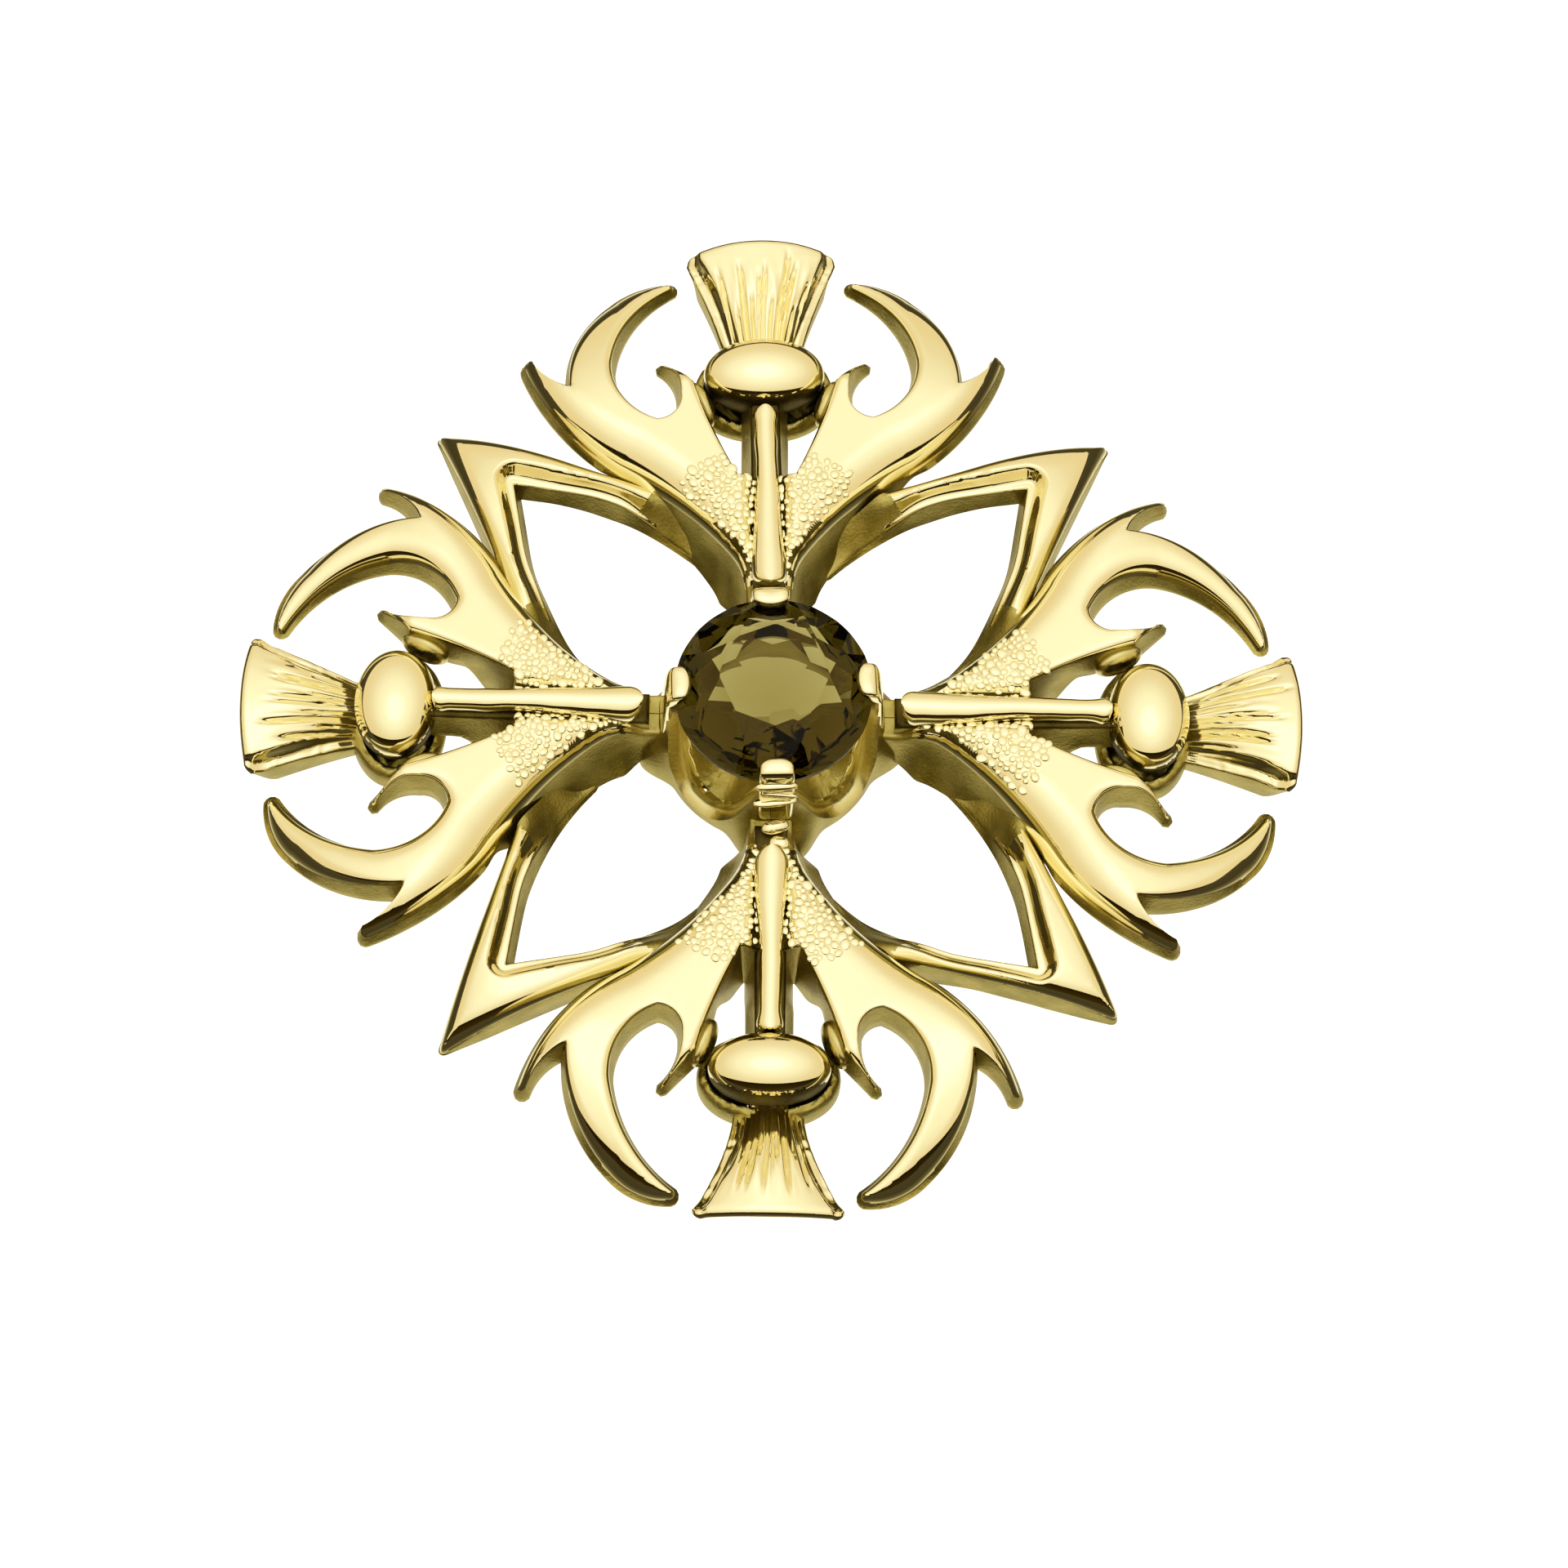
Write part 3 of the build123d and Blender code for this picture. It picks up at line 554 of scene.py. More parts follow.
def leaf_top(points, roll=leaf_roll):
    """Height of the face of a right-hand leaf."""
    x, y = points.T
    height = PLATE_TOP - tip_drop(from_middle(points), TIP_DROP_FROM, TIP_DROP_RADIUS)
    height -= edge_roll(points, leaf_loop, roll)
    height -= edge_roll(points, leaf_loop, leaf_swell * SWELL_RADIUS + 0.01, SWELL_LIP)
    along_barb = (points - BARB_ROOT) @ BARB_WAY
    near_barb = ease(5.2 - x, 0, 0.4) * ease(16.6 - y, 0, 0.3)
    height -= near_barb * 0.62 * np.clip(along_barb, 0, None) ** 1.35
    height -= 0.50 * (1 - ease(x, 0.45, 1.15)) * ease(12.0 - y, 0, 0.8)
    height -= 0.75 * (1 - ease(y, 4.9, 6.3))
    height -= 0.25 * (x / 1.1) ** 2 * (1 - ease(y, 5.2, 6.8))
    rough = ease(bead_depth(points), -0.1, 0.5)
    ripple = np.sin(x * 11.3 + 2.1 * np.sin(y * 7.9)) * np.sin(y * 12.7)
    return height - 0.03 * rough * ripple


def bead_depth(points):
    """How far inside the beaded patch beside the stem a point lies."""
    x, y = points.T
    return np.minimum.reduce([
        x - 0.55,
        y - 5.6,
        (11.25 - y) - 0.55 * np.clip(x - 1.9, 0, None),
        (0.85 - x) + 0.60 * (y - 5.6),
    ])


def by_stem(points):
    """Which points of a leaf lie beside the stem, where the lattice is finer."""
    x, y = points.T
    return (y < 10.9) & ((x < 1.2) | (y < 8.2))


def leaf_shell(roll):
    """One right-hand leaf, with painted shade along its neck and beside the stem."""
    widths = roll * math.sin(math.radians(ROLL_LIP))
    rows = edge_rows(leaf_loop, widths, ROLL_SHARES)
    coarse = lattice(leaf_loop, 0.24)
    gap, nearest = distances(coarse, leaf_loop)
    coarse = coarse[(gap > widths[nearest] + 0.13) & ~by_stem(coarse)]
    neck_edge = leaf_loop[:np.argmax(leaf_loop[:, 1] > 10.5)]
    fine = lattice(leaf_loop, 0.1)
    fine = clear_of(fine[by_stem(fine) & (fine[:, 0] > 0.80)], leaf_loop, 0.06)
    fine = clear_of(fine, neck_edge, 0.60, closed=False)
    across = (0.15, 0.35, 0.55, 0.65, 0.74)
    columns = np.array([(x, y) for y in np.arange(5.6, 10.4, 0.1) for x in across])
    columns = clear_of(clear_of(columns, leaf_loop, 0.10), neck_edge, 0.12, closed=False)
    inner = apart(np.concatenate([coarse, fine, columns]), rows, 0.06)
    radius, along = from_middle(leaf_loop), leaf_loop[:, 1]
    flare = 0.12 + 0.78 * ease(along, 4.8, 6.3) - 0.12 * ease(along, 6.3, 8.0)
    flare = flare * (1 - ease(radius, 7.5, 13.0)) * (leaf_loop[:, 0] > 0.3)
    notch = ease(radius, 12.5, 13.5) * 0.12
    walls = [
        (0.012, 0.03),
        (0.03 + 0.1 * flare, 0.2),
        (0.05 + 0.4 * flare + notch, 0.6),
        (0.05 + flare + notch, 0.96),
        (flare + notch, 1.0),
    ]
    shell = relief(leaf_loop, lambda points: leaf_top(points, roll), underside, walls, rows, inner)
    x, y, _ = shell.middles().T
    gap, _ = distances(np.column_stack([x, y]), neck_edge, closed=False)
    # Painted shade along the neck and in the trough beside the stem, in the dark gold.
    neck_shade = (gap > 0.20) & (gap < 0.42) & (y > 5.6) & (y < 8.4)
    stem_shade = (x < 0.74) & (y < 10.45) & (y > 6.2)
    shell.mark(neck_shade | stem_shade, PAINTED_SHADE)
    # The inner end takes the cast gold, partly painted shade.
    shell.mark(y < 5.7, CAST_AND_SHADE)
    return shell


def circle(count):
    """Angles evenly spaced around a circle."""
    return np.arange(count) * 2 * math.pi / count


def round_ring(count, power=1.0):
    """Points around a unit circle, which is squarer where the power is below 1."""
    ring = np.stack([np.cos(circle(count)), np.sin(circle(count))], axis=1)
    return np.sign(ring) * np.abs(ring) ** power


def cap_fan(columns):
    """Triangles from vertex 0 to the ring that starts at vertex 1."""
    return [(0, 1 + i, 1 + (i + 1) % columns) for i in range(columns)]


def ring_quads(rings, columns, first=0, closed=False):
    """Quads between rings of vertices that follow each other from the first vertex on."""
    base = np.arange(rings if closed else rings - 1)[:, None] * columns
    after = (base + columns) % (rings * columns)
    i, j = np.arange(columns), np.roll(np.arange(columns), -1)
    return first + np.stack([base + i, after + i, after + j, base + j], axis=2).reshape(-1, 4)


def sphere_shell(centre, radii, columns, rows, kind=POLISHED, low=-90.0, turn=0.0, power=1.0,
                 flat=1.0):
    """Oval ball, or a dome that ends at a latitude above -90."""
    whole = low <= -90
    polar = np.radians(np.linspace(90, low, rows + 1)[1:rows if whole else rows + 1])
    ring = round_ring(columns, power)
    vertices = [(0, 0, 1.0)]
    for value in polar:
        wide = math.cos(value)
        level = math.copysign(abs(math.sin(value)) ** flat, value)
        vertices += [(x * wide, y * wide, level) for x, y in ring]
    faces = [*cap_fan(columns), *ring_quads(len(polar), columns, 1)]
    last = 1 + (len(polar) - 1) * columns
    if whole:
        vertices.append((0, 0, -1.0))
        end = last + columns
        faces += [(last + i, end, last + (i + 1) % columns) for i in range(columns)]
    else:
        faces.append(range(last, last + columns)[::-1])
    x, y, z = (np.array(vertices) * np.array(radii)).T
    cos, sin = math.cos(math.radians(turn)), math.sin(math.radians(turn))
    vertices = np.column_stack([x * cos - y * sin, x * sin + y * cos, z]) + np.array(centre)
    return Shell(vertices, faces, kind)


def rounded_end(gap, length, least):
    """Share of the full radius at a distance from the rounded end of a rod."""
    short = (length - np.clip(gap, 0, length)) / length
    return np.sqrt(np.clip(1 - short ** 2, least, 1))


def stem_shell(seed, start, end):
    """Tapered round stem with a little collar at its outer end."""
    columns, shares = 32, np.linspace(0, 1, 90)
    along = start + (end - start) * shares
    taper = 0.46 + 0.27 * (1 - ease(along, start + 0.2, 11.0))
    collar = 0.07 * np.exp(-((along - end + 0.35) / 0.25) ** 2)
    wave = 0.014 * np.sin(along * 2.1 + seed) + 0.009 * np.sin(along * 4.7 + 2 * seed)
    radii = taper + collar + wave
    radii = radii * rounded_end(along - start, 0.6, 0.02) * rounded_end(end - along, 0.22, 0.15)
    vertices = []
    for y, top, wide in zip(along, STEM_TOP - 0.28 * shares, radii):
        x, z, tall = 0.015 * math.sin(y * 1.3 + seed), top - wide, wide * 1.02
        vertices += [(x + wide * math.cos(a), y, z + tall * math.sin(a)) for a in circle(columns)]
    quads = np.roll(ring_quads(len(shares), columns), -1, axis=1)
    last = (len(shares) - 1) * columns
    return Shell(vertices, [*quads, range(columns)[::-1], range(last, last + columns)])


def rib_shell():
    """Rib below the stem, wider towards the back, with painted shade on its top under the stem."""
    corners = ((-0.66, 5.0, 0.0), (0.66, 5.0, 0.0), (0.60, 14.4, 0.0), (-0.60, 14.4, 0.0))
    loop, _ = arc_loop(corners, 1.0, 0.3)
    rows = edge_rows(loop, 0.2, (0.15, 0.4, 0.7, 1.0))
    inner = clear_of(lattice(loop, 0.3), loop, 0.3)
    top = lambda points: RIB_TOP - roll_drop(distances(points, loop)[0], 0.2, 70.0)
    side = 0.36 * (np.abs(loop[:, 0]) > 0.4)
    walls = [(0.02, 0.05), (0.25 * side, 0.4), (0.8 * side, 0.8), (side, 0.97), (side, 1.0)]
    return relief(loop, top, underside, walls, rows, inner, kind_top=PAINTED_SHADE)


def calyx_shell(hollow_kind):
    """Oval disc behind the bulb with a rolled rim; hollow_kind is the metal inside the rim,
    where it paints the shade under the bulb.
    """
    loop = round_ring(120, 0.94) * CALYX_HALVES + (0, CALYX_MIDDLE)

    def top(points):
        x, y = points.T
        near, _ = distances(points, loop)
        level = CALYX_TOP - 0.45 * ease(15.6 - y, 0, 1.6)
        uneven = 0.04 * np.sin(x * 9 + 2 * np.sin(y * 7))
        return level + uneven - roll_drop(near, 0.38, 80.0) - 0.45 * ease(near, 0.30, 0.55)

    low = lambda points: np.full(len(points), CALYX_UNDERSIDE)
    walls = [(0.02, 0.05), (0.05, 0.5), (0.04, 0.93), (-0.06, 1.0)]
    rows, inner = edge_rows(loop, 0.5, ROLL_SHARES), clear_of(lattice(loop, 0.1), loop, 0.55)
    shell = relief(loop, top, low, walls, rows, inner)
    middles = shell.middles()
    near, _ = distances(middles[:, :2], loop)
    # Painted shade: the hollow inside the rim, under the bulb, takes hollow_kind.
    hollow = near > 0.34 + 0.06 * np.sin(middles[:, 0] * 7)
    shell.mark(hollow, hollow_kind)
    shell.mark(~hollow, CAST_AND_SHADE)
    return shell


def tuft_half(share, crown_half, foot_half, flare):
    """Half width of a tuft at a share of the way to its shoulders."""
    return foot_half + (crown_half - foot_half) * np.clip(share, 0, 1) ** flare


def tuft_loop(crown_rise, crown_half, foot_half, flare):
    """Outline of the tuft, from its foot around the crown."""
    shoulder = ARM_REACH - crown_rise
    shares = np.linspace(0, 1, 60)
    halves = tuft_half(shares, crown_half, foot_half, flare)
    right = np.column_stack([halves, TUFT_FOOT + (shoulder - TUFT_FOOT) * shares])
    turn = np.linspace(0, math.pi / 2, 9)[1:]
    round_right = np.column_stack([
        right[-1, 0] - TUFT_CORNER + TUFT_CORNER * np.cos(turn),
        right[-1, 1] + TUFT_CORNER * np.sin(turn),
    ])
    crown_end = round_right[-1, 0]
    x = np.linspace(crown_end, 0, 34)[1:]
    rise = (crown_rise - TUFT_CORNER) * np.abs(x / crown_end) ** 2.1
    side = np.concatenate([right, round_right, np.column_stack([x, ARM_REACH - rise])])
    foot = np.column_stack([np.linspace(-1, 1, 26)[1:-1] * foot_half, np.full(24, TUFT_FOOT)])
    return np.concatenate([side, reversed_mirror(side)[1:], foot])


def tuft_shell(seed, crown_rise, crown_half, foot_half, flare):
    """Flared tuft, arched across, with stepped bevels, a smooth crown and uneven grooves."""
    loop = tuft_loop(crown_rise, crown_half, foot_half, flare)
    shoulder = ARM_REACH - crown_rise
    length = ARM_REACH - TUFT_FOOT
    noise = np.random.RandomState(seed)
    offsets = noise.uniform(-0.03, 0.03, len(TUFT_GROOVES))
    ends = noise.uniform(-0.14, 0.02, len(TUFT_GROOVES))
    phases = noise.uniform(0, 6.28, 8)
    crown_points = loop[loop[:, 1] > shoulder + 0.05]

    def half_at(along):
        """Half width of the tuft at a place along the arm."""
        share = (along - TUFT_FOOT) / (shoulder - TUFT_FOOT)
        return tuft_half(share, crown_half, foot_half, flare)

    def top(points):
        x, y = points.T
        share, half = np.clip((y - TUFT_FOOT) / length, 0, 1), half_at(y)
        place = x / half
        face = half - 0.62 + 0.05 * np.sin(7 * share + phases[7]) * np.sign(x)
        x = np.abs(x)
        spine = 2.50 + 1.07 * ease(share, -0.1, 0.75) ** 0.8
        inner = np.clip(x / face, 0, 1)
        over = np.clip((x - face) / (half - face), 0, 1.2)
        rough = 0.02 * np.sin(share * 23 + phases[5] + 3 * np.sin(share * 17))
        rough = rough * ease(over, 0.3, 0.7)
        bevel = (0.30 + 0.50 * share) * ease(over, 0, 0.5) + 0.14 * over + rough
        drop = 0.40 * inner ** 2.2 + bevel * (1 - 0.75 * ease(share, 0.78, 0.97))
        drop = drop + roll_drop(np.clip(half - x, 0, None), 0.10, 80.0)
        near_crown, _ = distances(points, crown_points, closed=False)
        height = spine - drop - roll_drop(near_crown, 0.30)
        bend = 0.05 * np.sin(5 * share + phases[6]) * share
        groove = np.zeros(len(points))
        for number, (across, start, end, width, depth) in enumerate(TUFT_GROOVES):
            across, end = across + offsets[number] + bend, end + ends[number]
            gap = (place - across) * half
            window = ease(share, start - 0.03, start + 0.04)
            window = window * (1 - ease(share, end - 0.22, end))
            cut = 1.5 * depth * np.exp(-(gap / (width * 0.75)) ** 2) * window
            groove = np.maximum(groove, cut)
        fine = sum(
            np.sin(place * (15 + 7 * k) + phases[k] + 2.5 * np.sin(4 * share + phases[k]))
            for k in range(4)
        ) * 0.012 * (1 - ease(share, 0.6, 0.9))
        return height - groove * (1 - ease(over, 0, 0.4)) + fine

    def low(points):
        share = np.clip((points[:, 1] - TUFT_FOOT) / length, 0, 1)
        return 0.9 + 1.25 * ease(share, 0.70, 1.0)

    rows = edge_rows(loop, 0.3, ROLL_SHARES)
    levels, places = np.arange(16.55, shoulder - 0.30, 0.085), np.linspace(-0.985, 0.985, 105)
    across = np.outer(half_at(levels), places).ravel()
    fan = np.column_stack([across, np.repeat(levels, len(places))])
    near_top = lattice(loop, 0.085)
    inner = np.concatenate([fan, near_top[near_top[:, 1] > shoulder - 0.28]])
    lean = -0.05 - 0.30 * ease(loop[:, 1], shoulder - 1.0, shoulder + 0.2)
    walls = [(0.01, 0.04), (0.25 * lean, 0.3), (lean, 0.97), (1.15 * lean, 1.0)]
    return relief(loop, top, low, walls, rows, clear_of(inner, loop, 0.05))


def bead_shells(seed):
    """Closely packed raised beads of uneven size on a right-hand leaf beside the stem."""
    shell = Shell()
    spots = np.random.RandomState(seed)
    tries = np.column_stack([spots.uniform(0.5, 4.4, 12000), spots.uniform(5.5, 11.4, 12000)])
    sizes = 0.13 + 0.10 * spots.uniform(0, 1, 12000) ** 1.2
    depth = bead_depth(tries)
    edge, side = distances(tries, leaf_loop)
    margin = np.where(leaf_loop[side, 0] > leaf_loop[side, 1] * 0.30 - 0.95, 0.42, 0.10)
    allowed = (depth > 0.0) & (edge > margin) & inside(tries, leaf_loop)
    placed = []
    for spot, size, fits, deep in zip(tries, sizes, allowed, depth):
        if not fits or (deep < 0.2 and spots.uniform() < 0.8):
            continue
        if any(
            math.hypot(spot[0] - x, spot[1] - y) < 0.74 * (size + other) for x, y, other in placed
        ):
            continue
        placed.append((spot[0], spot[1], size))
    heights = leaf_top(np.array(placed)[:, :2])
    for (x, y, size), z in zip(placed, heights):
        length = size * spots.uniform(0.85, 1.35)
        rise = 0.07 + size * spots.uniform(0.12, 0.30)
        shell.join(sphere_shell(
            (x, y, z - 0.05), (size, length, rise), 16, 8, low=-8.0, turn=spots.uniform(0, 180),
            flat=0.6,
        ))
    return shell


# Chevrons
def chevron_shell(sway, reach_share):
    """One corner chevron with its inner ledge and the as-cast slopes beside the leaves,
    whose darker gold is partly painted shade.
    """
    right, _ = arc_loop(OPENING, CHEVRON_REACH, POINT_STEP, closed=False)
    for _ in range(50):
        right[1:-1] = (right[:-2] + 2 * right[1:-1] + right[2:]) / 4
    inner_edge = np.concatenate([reversed_mirror(right)[:-1], right])
    outline = np.array(CHEVRON_SIDE) * CHEVRON_REACH
    outer_right = []
    for start, end in zip(outline, outline[1:]):
        number = max(2, int(math.hypot(*(end - start)) / 0.2))
        outer_right += [start + (end - start) * share for share in np.arange(number) / number]
    outer_right = np.array(outer_right)
    tip = np.array((sway, CHEVRON_REACH * reach_share + 0.28))
    bars = []
    for side in (1, -1):
        root = outline[-1] * np.array((side, 1))
        bar = root + (tip - root) * np.linspace(0, 1, 90)[:, None]
        bars.append(bar[np.hypot(*(bar - tip).T) > 0.40])
    nose = []
    for share in np.linspace(0, 1, 11)[1:-1]:
        a, b, c = (1 - share) ** 2, 2 * share * (1 - share), share ** 2
        nose.append(a * bars[0][-1] + b * (tip - (0, 0.1)) + c * bars[1][-1])
    outer_edge = np.concatenate([bars[0], np.array(nose), bars[1][::-1]])
    edges = (outer_right, outer_edge, reversed_mirror(outer_right), inner_edge)
    loop = np.concatenate(edges)
    widths = np.repeat((0.2, 0.62, 0.2, 0.9), [len(edge) for edge in edges])
    is_inner = np.repeat((False, False, False, True), [len(edge) for edge in edges])

    def top(points):
        y = points[:, 1]
        gap, _ = distances(points, inner_edge, closed=False)
        rim, _ = distances(points, outer_edge, closed=False)
        step_from = 0.14 + 0.16 * ease(y, 13.0, 16.2)
        bevel = 0.70 * (1 - ease(gap, step_from, step_from + 0.58))
        outer_roll = roll_drop(rim, 0.62) + roll_drop(rim, 3.4, 22.0)
        bar = CHEVRON_TOP + 0.1 - tip_drop(from_middle(points), 14.5, 7.4)
        bar = bar - bevel - roll_drop(gap, 0.11) - outer_roll
        rise = 1.25 * ease(y, 6.6, 8.6)
        slope = 0.95 + rise * np.clip(gap, 0, 1.6) - 0.6 * roll_drop(gap, 0.10)
        return slope + (bar - slope) * ease(y, 8.6, 11.6)

    def low(points):
        y = points[:, 1]
        gap, _ = distances(points, inner_edge, closed=False)
        dish = dished_back(points) + 0.55 * ease(y, 11.5, 14.0)
        return dish + 0.55 * (1 - ease(gap, 0.1, 1.3)) * ease(y, 8.0, 11.0)

    shares = (0.03, 0.07, 0.11, 0.16, 0.22, 0.3, 0.4, 0.5, 0.6, 0.7, 0.82, 0.95, 1.1)
    rows = edge_rows(loop, widths, shares)
    inner = lattice(loop, 0.2)
    gap, nearest = distances(inner, loop)
    inner = apart(inner[gap > widths[nearest] * 1.1 + 0.08], rows, 0.08)
    apex = np.array((0.0, OPENING[0][1] * CHEVRON_REACH))
    fine = lattice(loop, 0.06)
    fine = clear_of(fine[np.hypot(*(fine - apex).T) < 1.5], loop, 0.05)
    fine = apart(fine, np.concatenate([rows, inner]), 0.03)
    draft = np.where(is_inner, 0.10 + 0.15 * ease(loop[:, 1], 6.0, 12.0), 0.05)
    walls = [(0.012, 0.04), (0.3 * draft, 0.4), (draft, 0.95), (draft - 0.05, 1.0)]
    shell = relief(loop, top, low, walls, rows, inner, fine)
    x, y, _ = shell.middles().T
    gap, _ = distances(np.column_stack([x, y]), inner_edge, closed=False)
    shell.mark(((y < 10.6) & (gap > 0.17)) | (y < 9.8), CAST_AND_SHADE)
    return shell


# Setting
def pavilion_height(radius):
    """Height of the underside of the stone at a radius."""
    return GIRDLE_HEIGHT - (STONE_RADIUS - radius) * math.tan(math.radians(PAVILION_ANGLE))


def collet_shell():
    """Round cup with its rim scalloped between the claws and its foot spread towards the arms."""
    columns = 288
    angle = circle(columns)
    rise = np.abs(np.cos(2 * angle)) ** 3.3
    outer_rim = 0.90 + 4.10 * rise
    inner_rim = 1.08 + 3.97 * rise
    off_arm = np.degrees(np.abs((angle + math.pi / 4) % (math.pi / 2) - math.pi / 4))
    spread = 0.95 * (1 - ease(off_arm, 9.0, 30.0)) ** 1.3
    grain = np.random.RandomState(5)
    rows, kinds = [], []

    def add_row(radius, level, kind):
        rows.append(np.column_stack([np.full(columns, radius), level]))
        kinds.append(kind)

    # The outer wall, the inner land and the bore take the cast gold, whose darker colour is partly
    # painted shade.
    for share in np.linspace(0, 1, 16):
        level = COLLET_FOOT + (outer_rim - COLLET_FOOT) * share
        foot = spread * (1 - ease(level, 0.5, 3.6))
        add_row(4.52 - 0.12 * ease(level, 1.3, 3.6) + foot, level, CAST_AND_SHADE)
    outer = rows[-1][:, 0]
    for share in (0.06, 0.16, 0.3, 0.46, 0.62, 0.78, 0.9, 1.0):
        bulge = 0.10 * math.sin(math.pi * share)
        level = outer_rim + (inner_rim - outer_rim) * share ** 0.8 + bulge
        add_row(outer + (3.84 - outer) * share, level, SATIN)
    ripple = 0.04 * np.sin(angle * 23 + 1) + 0.03 * np.sin(angle * 41 + 2)
    ripple = ripple + 0.02 * np.sin(angle * 67)
    for radius, fall in COLLET_LAND:
        uneven = ripple * np.sin(radius * 17 + angle * 3) + grain.uniform(-0.02, 0.02, columns)
        level = np.minimum(inner_rim - fall + uneven, pavilion_height(radius) - 0.12)
        add_row(radius, level, POLISHED if radius > 3.45 else CAST_AND_SHADE)
    for share in (0.3, 0.65, 1.0):
        add_row(COLLET_BORE, rows[-1][:, 1] * (1 - share) + COLLET_FOOT * share, CAST_AND_SHADE)
    vertices = []
    for row in rows:
        vertices += [(r * math.cos(a), r * math.sin(a), z) for (r, z), a in zip(row, angle)]
    quads = ring_quads(len(rows), columns, closed=True)[:, [0, 3, 2, 1]]
    kinds = np.repeat(np.roll(kinds, -1), columns).tolist()
    return Shell(vertices, quads, kinds).placed(SETTING_TURN)


def cut_stone(name, material):
    """Round stone cut with a table, three tiers of facets above the girdle and four below."""
    work = bmesh.new()
    uneven = np.random.RandomState(3)
    bmesh.ops.create_cone(
        work, cap_ends=True, segments=96, radius1=STONE_RADIUS, radius2=STONE_RADIUS, depth=5.4,
        matrix=Matrix.Translation((0, 0, 4.5)),
    )
    for count, first, slope, radius, height in STONE_FACETS:
        for number in range(count):
            around = math.radians(first + number * 360.0 / count + uneven.uniform(-2.0, 2.0))
            lean = math.radians(slope + (uneven.uniform(-1.0, 1.0) if count > 1 else 0.0))
            way = Vector((math.cos(around), math.sin(around), 0))
            point = way * radius + Vector((0, 0, height))
            upright = math.copysign(math.cos(lean), slope)
            normal = way * math.sin(abs(lean)) + Vector((0, 0, upright))
            cut = bmesh.ops.bisect_plane(
                work, geom=work.verts[:] + work.edges[:] + work.faces[:], plane_co=point,
                plane_no=normal, clear_outer=True, dist=1e-5,
            )
            edges = [item for item in cut["geom_cut"] if isinstance(item, bmesh.types.BMEdge)]
            if edges:
                bmesh.ops.contextual_create(work, geom=edges)
    bmesh.ops.scale(work, verts=work.verts, vec=(MM, MM, MM))
    mesh = bpy.data.meshes.new(name)
    work.to_mesh(mesh)
    work.free()
    mesh.materials.append(material)
    return linked(name, mesh)


def claw_shell(wide, ridged):
    """One claw, pointing along +Y, with a tongue over the stone that is round at its end."""
    inward = np.sin(circle(CLAW_COLUMNS)) < 0
    ring = round_ring(CLAW_COLUMNS, np.where(inward, 0.95, 0.45)[:, None])
    vertices = [CLAW_PEAK]
    for height, inner_reach, outer_reach, share in CLAW_STEPS:
        waist = outer_reach - min(0.35, 0.5 * (outer_reach - inner_reach))
        reach = np.where(inward, waist - inner_reach, outer_reach - waist)
        x, y = ring[:, 0] * wide / 2 * share, waist + ring[:, 1] * reach
        vertices += list(zip(x, y, np.full(CLAW_COLUMNS, height)))
    last = 1 + (len(CLAW_STEPS) - 1) * CLAW_COLUMNS
    quads = ring_quads(len(CLAW_STEPS), CLAW_COLUMNS, 1)
    faces = [*cap_fan(CLAW_COLUMNS), *quads, range(last, last + CLAW_COLUMNS)[::-1]]
    shell = Shell(vertices, faces)
    if ridged:
        for height, depth, tall, width, reach, aside, twist in CLAW_RIDGES:
            centre, radii = (aside, reach, height), (wide * width, depth, tall)
            shell.join(sphere_shell(centre, radii, 28, 14, turn=twist, power=0.85))
    return shell


# Materials
def set_inputs(tree, node, inputs):
    """Sets inputs of a node, each to a constant or by a link from a socket."""
    for key, value in inputs.items():
        if isinstance(value, bpy.types.NodeSocket):
            tree.links.new(value, node.inputs[key])
        else:
            node.inputs[key].default_value = value


def add_node(tree, kind, output, inputs=None, operation=None):
    """Named output of a new node with its inputs set."""
    node = tree.nodes.new(kind)
    if operation:
        node.operation = operation
    set_inputs(tree, node, inputs or {})
    return node.outputs[output]


def colour_ramp(tree, source, stops):
    """Colour from a ramp through (position, colour) stops."""
    colour = add_node(tree, "ShaderNodeValToRGB", "Color", {"Fac": source})
    elements = colour.node.color_ramp.elements
    for index, (position, value) in ((0, stops[0]), (1, stops[-1])):
        elements[index].position, elements[index].color = position, (*value, 1)
    for position, value in stops[1:-1]:
        elements.new(position).color = (*value, 1)
    return colour


def new_material(name):
    """Material with nodes, and its node tree."""
    material = bpy.data.materials.new(name)
    material.use_nodes = True
    return material, material.node_tree


def gold_material(name, light, dark, least_rough, most_rough, scale, bump, mix_low, mix_high):
    """Gold with a slight cloudiness of colour and roughness and a fine bump."""
    material, tree = new_material(name)
    place = add_node(tree, "ShaderNodeTexCoord", "Object")
    cloud, grain = (
        add_node(tree, "ShaderNodeTexNoise", "Fac", {
            "Vector": place, "Scale": size, "Detail": detail,
        })
        for size, detail in ((scale, 5.0), (scale * 9, 3.0))
    )
    set_inputs(tree, tree.nodes["Principled BSDF"], {
        "Metallic": 1.0,
        "Base Color": colour_ramp(tree, cloud, ((mix_low, dark), (mix_high, light))),
        "Roughness": add_node(tree, "ShaderNodeMapRange", "Result", {
            "Value": cloud, "To Min": least_rough, "To Max": most_rough,
        }),
        "Normal": add_node(tree, "ShaderNodeBump", "Normal", {
            "Height": grain, "Strength": bump, "Distance": BUMP_DEPTH,
        }),
    })
    return material


